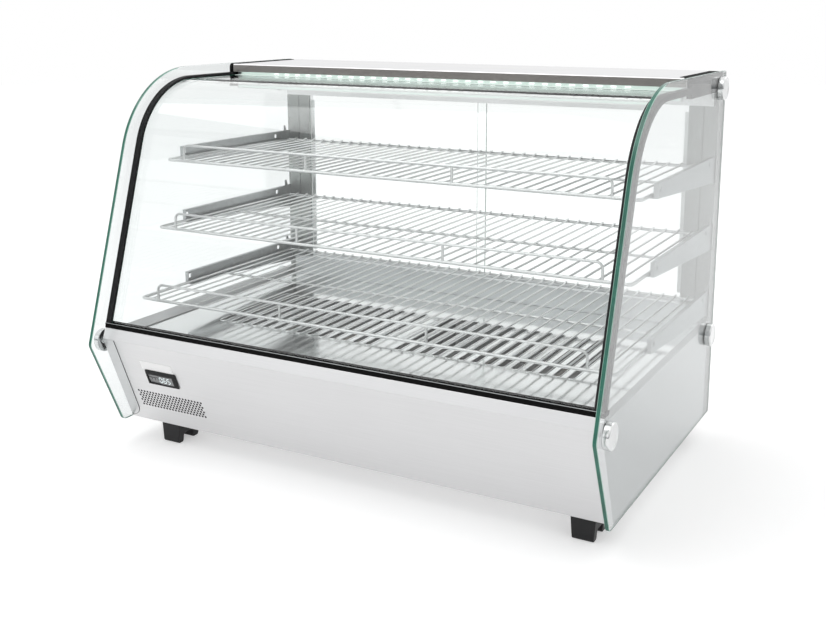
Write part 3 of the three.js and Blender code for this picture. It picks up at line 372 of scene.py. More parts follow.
# %% Finishes of this case
# each row: name, colour, metallic, roughness, pattern, its scale, contrast, rough_spread, bump
finishes = {
    "stainless": new_finish("brushed_stainless", (0.68, 0.68, 0.685), 1.0, 0.3, "brushed", 900,
                            0.05, 0.08, 0.05),
    "polished_steel": new_finish("polished_stainless", (0.78, 0.79, 0.79), 1.0, 0.06, "marks", 14, 0.03, 0.03),
    "galvanised": new_finish("galvanised_sheet", (0.47, 0.49, 0.495), 1.0, 0.34, "zinc", 170, 0.16, 0.12, 0.08),
    "chrome": new_finish("bright_plating", (0.72, 0.73, 0.73), 1.0, 0.12, "marks", 30, 0.05, 0.06),
    "aluminium": new_finish("satin_anodised", (0.72, 0.73, 0.73), 1.0, 0.32, "brushed", 1500, 0.04, 0.05, 0.03),
    "black_rubber": new_finish("black_rubber", (0.016, 0.016, 0.017), 0.0, 0.55, "grain", 1500, 0.3, 0.12, 0.15,
                               Specular_IOR_Level=0.25),
    "black_plastic": new_finish("black_moulded_plastic", (0.011, 0.011, 0.012), 0.0, 0.4, "grain", 1200,
                                0.3, 0.1, 0.12, Specular_IOR_Level=0.35),
    "grey_plastic": new_finish("grey_glossy_film", (0.26, 0.265, 0.27), 0.0, 0.2, "grain", 800, 0.08, 0.05,
                               Coat_Weight=0.3),
    "lens": new_finish("lamp_lens_white", (0.78, 0.88, 0.84), 0.0, 0.4, "grain", 500, 0.06, 0.05,
                       Emission_Strength=0.3, Emission_Color=(0.85, 1.0, 0.94, 1)),
    "heater_steel": new_finish("heat_dulled_steel", (0.34, 0.31, 0.28), 1.0, 0.45, "marks", 60, 0.5, 0.1),
    "motor_steel": new_finish("plated_motor_steel", (0.5, 0.51, 0.52), 1.0, 0.38, "zinc", 400, 0.08, 0.06),
    "clear_glass": new_glass("clear_sheet_glass", (0.975, 0.99, 0.985)),
    "green_glass": new_glass("clear_side_glass", (0.87, 0.893, 0.893)),
}
dull_rubber = new_finish("dull_strip_rubber", (0.008, 0.008, 0.008), 0.0, 0.8, "grain", 1500, 0.3, 0.1, 0.1,
                         Specular_IOR_Level=0.1)
rail_steel = new_finish("brushed_rail_steel", (0.66, 0.68, 0.69), 1.0, 0.3, "brushed", 900, 0.05, 0.08, 0.05)
pale_aluminium = new_finish("pale_anodised", (0.86, 0.87, 0.87), 1.0, 0.34, "brushed", 1500, 0.04, 0.05, 0.03)
clear_film = new_glass("clear_film_on_glass", (0.98, 0.99, 0.985), 1.04)
# a darker copy of the bright plating: painted shade for the darker surroundings that the wires mirror
shaded_wire_plating = new_finish("shaded_wire_plating", (0.64, 0.65, 0.65), 1.0, 0.28, "marks", 60, 0.06, 0.06)
edge_green = new_finish("glass_edge_green", (0.015, 0.15, 0.10), 0.0, 0.2, "marks", 40, 0.35, Coat_Weight=0.12)
edge_mint = new_finish("glass_arris_mint", (0.42, 0.68, 0.58), 0.0, 0.3, "marks", 60, 0.2)

slot_of = {row["node"]: row["material_slot"] for row in frame["record"]["subparts"]}
for node, slot in slot_of.items():
    surface = nodes[node].data.materials
    surface.clear()
    surface.append(finishes[slot])
print("finishes:", len(finishes), "on", len(slot_of), "nodes")

# %% [markdown]
# ## Drawing by hand: a bent line
# Glass outlines, rubber strips and wires all follow lines with straight runs and round bends. Such
# a line starts from one vertex. Each straight run is an extrude, and each bend is a spin about the
# bend's centre, which gives a true arc. Without a window the spin turns the other way, so its axis
# is the arc's own axis reversed.

# %% Selecting and extruding
def select_only(piece):
    nothing_selected()
    bpy.context.view_layer.objects.active = piece
    piece.select_set(True)


def settle():
    """Moves the place, turn and size of the selected piece into its mesh."""
    bpy.ops.object.transform_apply(location=True, rotation=True, scale=True)


def extrude_by(step):
    bpy.ops.mesh.extrude_vertices_move(TRANSFORM_OT_translate={"value": step})


print("selecting helpers are ready")

# %% Bent lines
ARC_DEGREES = 12
BIG_ARC_DEGREES = 3
BIG_RADIUS = 60 * MM
SAME_PLACE = 0.01 * MM
LOOP_MERGE = 0.02 * MM


def corner_bend(before, corner, after, radius):
    arriving = (before - corner).normalized()
    leaving = (after - corner).normalized()
    opening = arriving.angle(leaving)
    reach = radius / math.tan(opening / 2)
    centre = corner + (arriving + leaving).normalized() * radius / math.sin(opening / 2)
    return corner + arriving * reach, corner + leaving * reach, centre, math.pi - opening


def draw_line(name, corners, closed=False):
    """corners: a list of (place, radius); returns the piece in edit mode with its last vertex selected."""
    places = [Vector(place) for place, _ in corners]
    count = len(places)
    here = places[0]
    if closed and corners[0][1]:
        here = corner_bend(places[-1], places[0], places[1], corners[0][1])[1]
    nothing_selected()
    bpy.ops.mesh.primitive_plane_add(size=MM, location=here)
    piece = bpy.context.object
    piece.name = name
    settle()
    bpy.ops.object.mode_set(mode="EDIT")
    bpy.ops.mesh.select_all(action="SELECT")
    bpy.ops.mesh.merge(type="CENTER")
    for index in [*range(1, count), *([0] if closed else [])]:
        corner, radius = places[index], corners[index][1]
        if not radius:
            if index:
                extrude_by(corner - here)
                here = corner
            continue
        start, end, centre, turn = corner_bend(places[index - 1], corner, places[(index + 1) % count], radius)
        if (start - here).length > SAME_PLACE:
            extrude_by(start - here)
        step = BIG_ARC_DEGREES if radius > BIG_RADIUS else ARC_DEGREES
        axis = (end - centre).cross(start - centre)
        bpy.ops.mesh.spin(steps=max(3, math.ceil(math.degrees(turn) / step)), angle=turn, center=centre,
                          axis=axis.normalized())
        here = end
    if closed:
        bpy.ops.mesh.select_all(action="SELECT")
        bpy.ops.mesh.remove_doubles(threshold=LOOP_MERGE)
    return piece


def close_line(piece):
    """Joins the two open ends of a line with an edge."""
    bpy.ops.object.mode_set(mode="OBJECT")
    uses = [vertex for edge in piece.data.edges for vertex in edge.vertices]
    open_ends = 0
    for vertex in piece.data.vertices:
        vertex.select = uses.count(vertex.index) == 1
        open_ends += vertex.select
    bpy.ops.object.mode_set(mode="EDIT")
    if open_ends == 2:
        bpy.ops.mesh.edge_face_add()


print("a quarter bend has", round(90 / ARC_DEGREES), "steps")

# %% Corners of common lines
def at_x(x, rows):
    """Corners of a line seen from the side: each row is (y, z, radius)."""
    return [((x, y, z), radius) for y, z, radius in rows]


def rounded_loop(left, right, near, far, z, radius):
    return [((x, y, z), radius) for x, y in ((left, near), (right, near), (right, far), (left, far))]


print("a loop has", len(rounded_loop(0, 1, 0, 1, 0, 0)), "corners")

# %% [markdown]
# ## Modifiers that finish a piece
# A Bevel softens edges, a Weighted Normal keeps large faces flat, an Array repeats and a Boolean
# cuts. Each is applied at once, so what is left is plain mesh.

# %% Modifier helpers
SMOOTH_ANGLE = math.radians(32)


def modified(piece, kind, **settings):
    """Adds a modifier to the piece, sets its values and applies it."""
    modifier = piece.modifiers.new(kind.lower(), kind)
    for title, value in settings.items():
        setattr(modifier, title, value)
    bpy.context.view_layer.objects.active = piece
    bpy.ops.object.modifier_apply(modifier=modifier.name)


def finish_mesh(piece, round_off=0.0, segments=2, angle=40):
    """Softens the sharp edges, and shades smoothly with the large faces kept flat."""
    select_only(piece)
    if round_off:
        modified(piece, "BEVEL", width=round_off, segments=segments, limit_method="ANGLE",
                 angle_limit=math.radians(angle), use_clamp_overlap=True)
    if piece.data.has_custom_normals:
        bpy.ops.mesh.customdata_custom_splitnormals_clear()
    bpy.ops.object.shade_smooth_by_angle(angle=SMOOTH_ANGLE)
    modified(piece, "WEIGHTED_NORMAL", keep_sharp=True)
    return piece


def repeated(piece, count, step):
    modified(piece, "ARRAY", count=count, use_relative_offset=False, use_constant_offset=True,
             constant_offset_displace=step)


def subtract(piece, cutter):
    nothing_selected()
    modified(piece, "BOOLEAN", object=cutter, solver="EXACT")
    bpy.data.objects.remove(cutter)


print("edges smoother than", round(math.degrees(SMOOTH_ANGLE)), "degrees are shaded smooth")

# %% [markdown]
# ## From a line to a piece
# A closed outline is filled and extruded by its depth. A line that becomes a curve gets a round
# thickness, as wire has. A plain block is only the start of a bar or a plate, and its edges are
# softened too.

# %% Outlines, wires and blocks
def swept_outline(name, corners, reach, round_off=0.0, segments=2):
    """A closed outline filled with one face and extruded by the vector reach."""
    piece = draw_line(name, corners, closed=True)
    bpy.ops.mesh.edge_face_add()
    bpy.ops.mesh.select_all(action="SELECT")
    bpy.ops.mesh.extrude_region_move(TRANSFORM_OT_translate={"value": reach})
    bpy.ops.mesh.select_all(action="SELECT")
    bpy.ops.mesh.normals_make_consistent(inside=False)
    return finish_mesh(piece, round_off, segments)


def swept_section(name, start_x, end_x, rows, round_off=0.0, segments=2):
    return swept_outline(name, at_x(start_x, rows), (end_x - start_x, 0, 0), round_off, segments)


def bent_wire(name, corners, diameter, sides=8, closed=False):
    """A round wire along a bent line: the line becomes a curve, the curve gets its thickness."""
    piece = draw_line(name, corners, closed)
    if closed:
        close_line(piece)
    select_only(piece)
    bpy.ops.object.convert(target="CURVE")
    piece.data.bevel_depth = diameter / 2
    piece.data.bevel_resolution = max(0, sides // 2 - 2)
    piece.data.use_fill_caps = True
    bpy.ops.object.convert(target="MESH")
    return finish_mesh(bpy.context.object)


def block(name, middle, size):
    nothing_selected()
    bpy.ops.mesh.primitive_cube_add(size=1, location=middle, scale=size)
    piece = bpy.context.object
    piece.name = name
    settle()
    return piece


def soft_block(name, middle, size, round_off, segments=1):
    return finish_mesh(block(name, middle, size), round_off, segments)


print("outline and wire helpers are ready")

# %% [markdown]
# ## Copies of CAD nodes, and dressing
# A CAD node's mesh is loose triangles, so a copy is merged and cleaned before its edges are
# softened. Dressing gives a piece its finish, which is its slot's finish unless a material is given,
# and the body that it rides on, and hides the CAD nodes that it stands for.

# %% Joining and dressing
CAD_MERGE = 0.005 * MM
SAME_PLANE = math.radians(1)


def joined(pieces, name):
    nothing_selected()
    for piece in pieces:
        piece.select_set(True)
    bpy.context.view_layer.objects.active = pieces[0]
    bpy.ops.object.join()
    pieces[0].name = name
    return pieces[0]


def softened(node, name, width, segments=2, angle=40):
    """A copy of a CAD node with its loose triangles merged, flat areas cleaned and sharp edges rounded."""
    select_only(nodes[node])
    bpy.ops.object.duplicate(linked=False)
    twin = bpy.context.object
    twin.name = name
    twin.parent = None
    for key in [key for key in twin.keys() if key.startswith("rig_")]:
        del twin[key]
    bpy.ops.object.mode_set(mode="EDIT")
    bpy.ops.mesh.select_all(action="SELECT")
    bpy.ops.mesh.remove_doubles(threshold=CAD_MERGE)
    bpy.ops.mesh.dissolve_limited(angle_limit=SAME_PLANE)
    return finish_mesh(twin, width, segments, angle)


def dress(piece, body, slot, *covers, material=None):
    """Gives a piece its finish (its slot's, unless a material is given) and its body, and hides the CAD nodes
    that it stands for.
    """
    piece.data.materials.clear()
    piece.data.materials.append(material or finishes[slot])
    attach(piece, body)
    if covers:
        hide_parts(*covers)
    return piece


def paint(piece, material, chosen):
    """Assigns a second material to the faces that chosen(face) picks, and counts them."""
    piece.data.materials.append(material)
    faces = [face for face in piece.data.polygons if chosen(face)]
    for face in faces:
        face.material_index = len(piece.data.materials) - 1
    return len(faces)


print("slots to dress:", len(set(slot_of.values())))

# %% [markdown]
# ## Side glasses
# Each side is one flat toughened pane with a smooth profile: a toe that runs back to the counter, a
# round belly, and one large bend at the top. The outline is drawn as a line with bends, filled and
# extruded by the glass thickness. Its ground edges look green because the eye looks along the
# sheet, so the edge faces get their own colour, and the tiny bevels a paler one.

# %% Side glasses
LEAN = math.radians(17.6)
TOE_SETBACK = 64 * MM
BELLY_HEIGHT = 143 * MM
TOE_RADIUS = 10 * MM
BELLY_RADIUS = 12 * MM
TOP_RADIUS = 168 * MM
HEEL_RADIUS = 4 * MM
ARRIS = 0.7 * MM


def make_side_pane(side):
    node = f"side_glass_{side}"
    lo, hi = span(node)
    toe_angle = math.atan(TOE_SETBACK / BELLY_HEIGHT)
    allowance = BELLY_RADIUS * (math.cos((toe_angle - LEAN) / 2) / math.cos((toe_angle + LEAN) / 2) - 1)
    belly_y = cad_low.y - allowance
    belly_z = lo.z + BELLY_HEIGHT
    corner_y = belly_y + math.tan(LEAN) * (hi.z - belly_z)
    pane = swept_section(f"side_pane_{side}", lo.x, hi.x, [
        (hi.y, lo.z, HEEL_RADIUS),
        (belly_y + TOE_SETBACK, lo.z, TOE_RADIUS),
        (belly_y, belly_z, BELLY_RADIUS),
        (corner_y, hi.z, TOP_RADIUS),
        (hi.y, hi.z, HEEL_RADIUS)], ARRIS, 1)
    dress(pane, "case", "green_glass", node)
    edges = paint(pane, edge_green, lambda face: abs(face.normal.x) < 0.2)
    arrises = paint(pane, edge_mint, lambda face: (
        0.2 <= abs(face.normal.x) < 0.9 and face.center.z < hi.z - 2 * MM))
    print(node, "edge faces:", edges, "arris faces:", arrises)


for side, _ in SIDES:
    make_side_pane(side)

# %% [markdown]
# ## Curved front glass and its rubber strips
# The front glass rises from the seal with the same lean as the side glasses, bends back in one arc
# and ends under the top cover. The black strips at its two ends follow the same curve, so one
# function gives the outline of any band that lies a little outside or inside that curve. The flat
# top of the glass has a clear film, so it mirrors less of the lip above it.

# %% Front glass
GLASS_THICKNESS = 5 * MM
FRONT_RADIUS = 135 * MM

glass_foot, glass_top = span("front_glass")


def glass_line_y(z, inset):
    return glass_foot.y + math.tan(LEAN) * (z - glass_foot.z) + inset / math.cos(LEAN)


def glass_band(outer, inner, bottom_z, end_y):
    def bend(inset):
        top = glass_top.z - inset
        return [(glass_line_y(bottom_z, inset), bottom_z, 0),
                (glass_line_y(top, inset), top, FRONT_RADIUS - inset), (end_y, top, 0)]
    return bend(outer) + bend(inner)[::-1]


def make_front_pane():
    lo, hi = glass_foot, glass_top
    band = glass_band(0, GLASS_THICKNESS, lo.z, hi.y)
    pane = swept_section("curved_front_pane", lo.x, hi.x, band, ARRIS / 2, 1)
    dress(pane, "case", "clear_glass", "front_glass")
    edges = paint(pane, edge_green, lambda face: (
        abs(face.normal.x) > 0.9 or face.center.z < lo.z + MM or face.center.y > hi.y - MM / 2))
    tops = paint(pane, clear_film, lambda face: (
        abs(face.normal.z) > 0.99 and face.center.z > hi.z - 2 * GLASS_THICKNESS))
    print("front pane edge faces:", edges, "faces under the clear film:", tops)


make_front_pane()
print("front glass leans", round(math.degrees(LEAN), 1), "degrees")

# %% [markdown]
# ### End strips
# Each strip is the same band made thicker, with a groove that a second band cuts for the glass.

# %% End strips
STRIP_OUTSIDE = 4.5 * MM
STRIP_INSIDE = 5 * MM
STRIP_ROUND = 0.8 * MM
CUT_PAST = 9 * MM


def make_end_strip(side):
    node = f"end_gasket_{side}"
    lo, hi = span(node)
    strip = swept_section(f"curved_end_strip_{side}", lo.x, hi.x,
                          glass_band(-STRIP_OUTSIDE, STRIP_INSIDE, lo.z, hi.y))
    start = max(lo.x - MM, glass_foot.x - SEAT)
    end = min(hi.x + MM, glass_top.x + SEAT)
    subtract(strip, swept_section("groove_cutter", start, end, glass_band(
        -SEAT, GLASS_THICKNESS + SEAT, lo.z - CUT_PAST, hi.y + CUT_PAST)))
    finish_mesh(strip, STRIP_ROUND, 2)
    dress(strip, "case", "black_rubber", node)
    print(strip.name, "faces:", len(strip.data.polygons))


for side, _ in SIDES:
    make_end_strip(side)

# %% [markdown]
# ### Seal under the glass
# The glass stands in a rubber seal with a rounded bead along its front. A thin zinc-grey strip on
# the bead is a painted highlight: the bright line that light draws along it.

# %% Sill seal
SEAL_LIP = 0.6 * MM
SEAL_HIGHLIGHT_STRIP = (1 * MM, 0.7 * MM)


def make_sill_seal():
    """The rubber bead under the glass, with a thin metal strip along it as a painted highlight."""
    lo, hi = span("bottom_seal")
    bead = lo.z + (hi.z - lo.z) / 2
    lip, seat_z = SEAL_LIP, glass_foot.z - SEAT
    seal = swept_section("sill_seal", lo.x, hi.x, [
        (lo.y, lo.z, 0),
        (lo.y, bead - lip, lip / 2),
        (lo.y + 2 * lip, bead, lip / 2),
        (lo.y, bead + lip, lip / 2),
        (lo.y + lip, hi.z, lip),
        (glass_line_y(hi.z, -SEAT), hi.z, 0),
        (glass_line_y(seat_z, -SEAT), seat_z, 0),
        (glass_line_y(seat_z, GLASS_THICKNESS + SEAT), seat_z, 0),
        (glass_line_y(hi.z - lip, GLASS_THICKNESS + SEAT), hi.z - lip, 0),
        (hi.y, hi.z - 2 * lip, lip),
        (hi.y, lo.z, 0)])
    dress(seal, "case", "black_rubber", "bottom_seal", material=dull_rubber)
    # a thin bright strip along the bead as a painted highlight
    line = soft_block("sill_seal_painted_highlight", (0, lo.y + 0.9 * MM, hi.z - 0.4 * MM),
                      (hi.x - lo.x - 2 * MM, *SEAL_HIGHLIGHT_STRIP), 0.2 * MM)
    dress(line, "case", "galvanised")


make_sill_seal()
print("seal is", round((high("bottom_seal").z - low("bottom_seal").z) / MM, 1), "mm high")

# %% [markdown]
# ## Top cover and its end strips
# The cover is one folded sheet with a front lip in a warm anodised tone. A black strip closes each
# end and turns down round the front corner. Both are outlines seen from the side, swept along X,
# with bends where the real sheet and rubber are bent.

# %% Top cover
COVER_BEND = 3 * MM
COVER_REAR_BEND = 2 * MM
anodised_lip = new_finish("warm_anodised_lip", (0.26, 0.248, 0.236), 1.0, 0.34, "brushed", 1300,
                          0.06, 0.06, 0.04)


def make_cover():
    lo, hi = span("top_cover")
    cover = swept_section("folded_top_cover", lo.x, hi.x, [
        (lo.y, lo.z, 0),
        (lo.y, hi.z, COVER_BEND),
        (hi.y, hi.z, COVER_REAR_BEND),
        (hi.y, lo.z, 0),
        (hi.y - SHEET, lo.z, 0),
        (hi.y - SHEET, hi.z - SHEET, COVER_REAR_BEND - SHEET),
        (lo.y + SHEET, hi.z - SHEET, COVER_BEND - SHEET),
        (lo.y + SHEET, lo.z, 0)], 0.3 * MM, 1)
    dress(cover, "case", "stainless", "top_cover")
    paint(cover, anodised_lip, lambda face: face.normal.y < -0.9 and face.center.y < lo.y + SHEET)


make_cover()
print("cover is", round(high("top_cover").x * 2 / MM), "mm long")

# %% Cover end strips
STRIP_CORNER = 7 * MM
STRIP_PROUD = 0.8 * MM
STRIP_LIP = 8 * MM


def make_cover_strip(side, sign):
    node = f"cover_gasket_{side}"
    lo, hi = span(node)
    top = hi.z + STRIP_PROUD
    strip = swept_section(f"cover_end_strip_{side}", lo.x, hi.x, [
        (lo.y, lo.z, 1 * MM), (lo.y, top, STRIP_CORNER), (hi.y, top, 1 * MM), (hi.y, lo.z, 1 * MM)],
        0.6 * MM, 2)
    inner_x = lo.x if sign > 0 else hi.x
    front_y = lo.y + STRIP_CORNER
    place = (inner_x - sign * STRIP_LIP / 2 + sign * MM / 2, (front_y + hi.y) / 2,
             top - STRIP_PROUD / 2 + 0.01 * MM)
    size = (STRIP_LIP + MM, hi.y - front_y, STRIP_PROUD - 0.04 * MM)
    lip = soft_block("cover_strip_lip", place, size, 0.3 * MM, 2)
    dress(joined([strip, lip], strip.name), "case", "black_rubber", node, material=dull_rubber)
    print(strip.name, "faces:", len(strip.data.polygons))


for side, sign in SIDES:
    make_cover_strip(side, sign)

# %% [markdown]
# ## Bright caps
# Six plated caps hold the side glasses. Each is a turned part, so half its section is drawn in the
# plane through its axis and spun through a full turn.

# %% Caps
CAP_RADIUS = 18.25 * MM
CAP_SPIGOT_RADIUS = 6.7 * MM
CAP_PROUD = 10 * MM
CAP_EDGE = 2.2 * MM
CAP_DISH = 0.9 * MM
CAP_STEPS = 48
CAP_SPOTS = ("front", "lower_rear", "upper_rear")


def turned_cap(name, sign, centre):
    """sign is the side that the cap's face looks to."""
    inner_x, glass_x = low("side_glass_right").x, high("side_glass_right").x
    face_x = glass_x + CAP_PROUD
    half_section = [(inner_x, 0, 0), (inner_x, CAP_SPIGOT_RADIUS, 0), (glass_x + SEAT, CAP_SPIGOT_RADIUS, 0),
                    (glass_x + SEAT, CAP_RADIUS, 0.5 * MM), (face_x, CAP_RADIUS, CAP_EDGE),
                    (face_x, CAP_RADIUS - 3 * MM, 1 * MM), (face_x - CAP_DISH, CAP_RADIUS - 5 * MM, 3 * MM),
                    (face_x - CAP_DISH, 0, 0)]
    cap = draw_line(name, [((x, 0, z), radius) for x, z, radius in half_section])
    bpy.ops.mesh.select_all(action="SELECT")
    bpy.ops.mesh.spin(steps=CAP_STEPS, angle=2 * math.pi, center=(0, 0, 0), axis=(1, 0, 0))
    bpy.ops.mesh.select_all(action="SELECT")
    bpy.ops.mesh.remove_doubles(threshold=SAME_PLACE)
    bpy.ops.transform.translate(value=(0, centre.y, centre.z))
    if sign < 0:
        bpy.ops.transform.resize(value=(-1, 1, 1), center_override=(0, 0, 0))
    bpy.ops.mesh.normals_make_consistent(inside=False)
    return finish_mesh(cap)


for side, sign in SIDES:
    for spot in CAP_SPOTS:
        node = f"glass_cap_{spot}_{side}"
        cap = turned_cap(f"bright_cap_{spot}_{side}", sign, (low(node) + high(node)) / 2)
        dress(cap, "case", "chrome", node)
print("caps:", len(SIDES) * len(CAP_SPOTS), "faces each:", len(cap.data.polygons))

# %% [markdown]
# ## Wire racks
# A rack is a frame wire with round corners, 38 thinner wires welded into it, one wire across under
# them, and a low fence along the front. Each wire is a bent line with thickness. The thin wires
# rise over the rear frame wire, which gives the row of small bumps along the back. One thin wire is
# made and an Array modifier repeats it.

# %% Racks
FRAME_WIRE = 5 * MM
FRAME_BEND = 9 * MM
CROSS_WIRE = 3 * MM
CROSS_COUNT = 38
MIDDLE_WIRE = 4 * MM
FENCE_HEIGHT = 26 * MM
FENCE_WIRE = 4 * MM
FENCE_INSET = 37.5 * MM
FENCE_BEND = 9 * MM
FENCE_POST_X = 126 * MM
BUMP_RUN = 6 * MM
WELD = 0.4 * MM


def make_rack(level):
    node = f"wire_shelf_{level}"
    lo, hi = span(node)
    inset = FRAME_WIRE / 2
    frame_z = lo.z + inset
    front, rear, side = lo.y + inset, hi.y - inset, hi.x - inset
    loop = rounded_loop(-side, side, front, rear, frame_z, FRAME_BEND - inset)
    parts = [bent_wire("frame_wire", loop, FRAME_WIRE, 12, closed=True)]

    cross_z = frame_z + inset - CROSS_WIRE / 2
    over_z = frame_z + inset + CROSS_WIRE / 2 - WELD
    pitch = 2 * side / (CROSS_COUNT + 1)
    cross = bent_wire("cross_wire", at_x(-side + pitch, [
        (front, cross_z, 0), (rear - 2 * BUMP_RUN, cross_z, 4 * MM),
        (rear - BUMP_RUN / 2, over_z, 3 * MM), (rear + inset, over_z, 0)]), CROSS_WIRE, 8)
    repeated(cross, CROSS_COUNT, (pitch, 0, 0))
    parts.append(cross)

    middle_y = (front + rear) / 2
    under_z = cross_z - CROSS_WIRE / 2 - inset + WELD
    parts.append(bent_wire("middle_wire", [((-side, middle_y, under_z), 0), ((side, middle_y, under_z), 0)],
                           MIDDLE_WIRE, 10))

    fence_x = hi.x - FENCE_INSET
    top = frame_z + FENCE_HEIGHT
    parts.append(bent_wire("fence_wire", [
        ((-fence_x, front, frame_z), 0), ((-fence_x, front, top), FENCE_BEND),
        ((fence_x, front, top), FENCE_BEND), ((fence_x, front, frame_z), 0)], FENCE_WIRE, 10))
    for x in (-FENCE_POST_X, FENCE_POST_X):
        parts.append(bent_wire("fence_post", [((x, front, frame_z), 0), ((x, front, top), 0)], FENCE_WIRE, 10))

    rack = joined(parts, f"wire_rack_{level}")
    # the wires' plating is darker than the bright plating, as painted shade
    dress(rack, f"{level}_shelf", "chrome", node, material=shaded_wire_plating)
    print(rack.name, "faces:", len(rack.data.polygons), "wires:", CROSS_COUNT + 5)


for level in LEVELS:
    make_rack(level)

# %% [markdown]
# ## Front panel
# The panel is one folded sheet whose face leans. Pieces on it are drawn flat, with x to the right,
# y up the slope and z out of the face, and are then turned onto the leaning face.

# %% Where the panel stands
TOE_FLANGE = 18 * MM
LIP_HEIGHT = 16.3 * MM
THERMOSTAT_MARGIN = 99.2 * MM

panel_low, panel_high = span("front_panel")
toe_y = panel_high.y - TOE_FLANGE
lip_line = Vector((0, panel_low.y, panel_high.z - LIP_HEIGHT))
panel_foot = Vector((0, toe_y, panel_low.z))
panel_tilt = math.pi / 2 + math.atan((toe_y - lip_line.y) / (lip_line.z - panel_low.z))
outward = Vector((0, -math.sin(panel_tilt), math.cos(panel_tilt)))
thermostat_x = panel_low.x + THERMOSTAT_MARGIN


def onto_panel(piece):
    """Moves a piece drawn flat (x right, y up the slope, z out of the face) onto the leaning face."""
    select_only(piece)
    piece.rotation_euler = (panel_tilt, 0, 0)
    piece.location = panel_foot
    settle()
    return piece


def off_panel(face):
    """How far a face lies in front of the leaning face."""
    return (face.center - panel_foot).dot(outward)


print("front panel leans", round(math.degrees(panel_tilt) - 90, 1), "degrees")

# %% [markdown]
# ### Painted shade behind the vents
# A black sheet stands close behind the vent holes in front, and another one behind the rear vents.
# They are painted shade: the dark that the eye sees through the holes.

# %% Painted shade behind the vents
VENT_ROWS = 7
VENT_COLUMNS = 22
VENT_PITCH_X = 6.05 * MM
VENT_PITCH_UP = 4.7 * MM
VENT_MARGIN = 36.7 * MM
VENT_LOW_UP = 34 * MM
SHADE_SHEET_MARGIN = 3 * MM
SHADE_SHEET_THICKNESS = 0.5 * MM
SHADE_SHEET_ROUND = 0.1 * MM
REAR_VENT_X = -114 * MM
REAR_VENT_WIDTH = 122 * MM
REAR_VENT_HEIGHT = 66 * MM
# black for painted shade: the sheets behind the vents and the walls inside the vent holes
vent_shade_black = new_finish("vent_painted_shade_black", (0.008, 0.008, 0.008), 0.0, 0.8, "grain", 900, 0.3,
                         Specular_IOR_Level=0.1)


def make_vent_shade_sheets():
    """Black sheets just behind the vents in front and behind: painted shade seen through the holes."""
    width = (VENT_COLUMNS - 1) * VENT_PITCH_X
    height = (VENT_ROWS - 1) * VENT_PITCH_UP
    front = soft_block(
        "vent_shade_sheet", (panel_low.x + VENT_MARGIN + width / 2, VENT_LOW_UP + height / 2, -SHEET - 0.6 * MM),
        (width + 2 * SHADE_SHEET_MARGIN, height + 2 * SHADE_SHEET_MARGIN, SHADE_SHEET_THICKNESS), SHADE_SHEET_ROUND)
    dress(onto_panel(front), "case", "black_plastic", material=vent_shade_black)
    switch = (low("main_switch_housing") + high("main_switch_housing")) / 2
    rear = soft_block("rear_vent_shade_sheet", (REAR_VENT_X, low("rear_panel").y - MM, switch.z),
                      (REAR_VENT_WIDTH, SHADE_SHEET_THICKNESS, REAR_VENT_HEIGHT), SHADE_SHEET_ROUND)
    dress(rear, "case", "black_plastic", material=vent_shade_black)


make_vent_shade_sheets()
print("front vents:", VENT_ROWS, "rows of about", VENT_COLUMNS, "holes")

# %% [markdown]
# ### End flap
# A thin plate covers the panel's left end. It has one large round corner, and a black bead along
# its edge is a painted shadow, the dark line that the edge casts.

# %% End flap
FLAP_WIDTH = 22.3 * MM
FLAP_FOOT = 5 * MM
FLAP_PROUD = 0.5 * MM
SHADOW_LINE_BEAD = 0.9 * MM


def make_end_flap():
    """The cover strip at the panel's left end: a thin plate with one round corner and a black bead as a painted
    shadow line along its edge.
    """
    left, right = panel_low.x + SEAT, panel_low.x + FLAP_WIDTH
    top = (lip_line - panel_foot).length - MM

    def corners(z):
        return [((left, FLAP_FOOT, z), 0), ((right, FLAP_FOOT, z), FLAP_WIDTH - MM), ((right, top, z), 0)]

    flap = swept_outline("end_flap", [*corners(0), ((left, top, 0), 0)], (0, 0, FLAP_PROUD), 0.15 * MM, 2)
    dress(onto_panel(flap), "case", "stainless")
    # a black bead along the edge as a painted shadow line
    shadow_line = bent_wire("end_flap_shadow_line", corners(FLAP_PROUD / 2), SHADOW_LINE_BEAD, 6)
    dress(onto_panel(shadow_line), "case", "black_rubber")


make_end_flap()
print("end flap is", round(FLAP_WIDTH / MM, 1), "mm wide")

# %% [markdown]
# ### The folded sheet
# The sheet has a toe flange, the leaning face, the lip that turns back, a narrow top and a rear
# flange. Its section is drawn once with small bends at each fold and swept along the case, so that
# each fold catches a thin line of light.

# %% Panel sheet
PANEL_BEND = 1.6 * MM
LIP_LEAN = 7 * MM
LIP_FLANGE = 19 * MM


def make_panel_sheet():
    """The section's outer line, and the same line moved in by the sheet's thickness."""
    flange_y = lip_line.y + LIP_LEAN + LIP_FLANGE
    line = [(toe_y + TOE_FLANGE, panel_low.z), (toe_y, panel_low.z), (lip_line.y, lip_line.z),
            (lip_line.y + LIP_LEAN, panel_high.z), (flange_y, panel_high.z),
            (flange_y, high("deck_plate").z + SEAT)]
    runs = [Vector(b) - Vector(a) for a, b in zip(line, line[1:])]
    normals = [Vector((run.y, -run.x)).normalized() for run in runs]
    inner = []
    for point, before, after in zip(line, normals[:1] + normals, normals + normals[-1:]):
        mitre = (before + after).normalized()
        inner.append(Vector(point) + mitre * (SHEET / mitre.dot(before)))
    bent = [0, *[1] * (len(line) - 2), 0]
    rows = [(y, z, PANEL_BEND * fold) for (y, z), fold in zip(line, bent)]
    rows += [(y, z, (PANEL_BEND - SHEET) * fold) for (y, z), fold in zip(reversed(inner), bent)]
    return swept_section("folded_front_panel", panel_low.x, panel_high.x, rows)


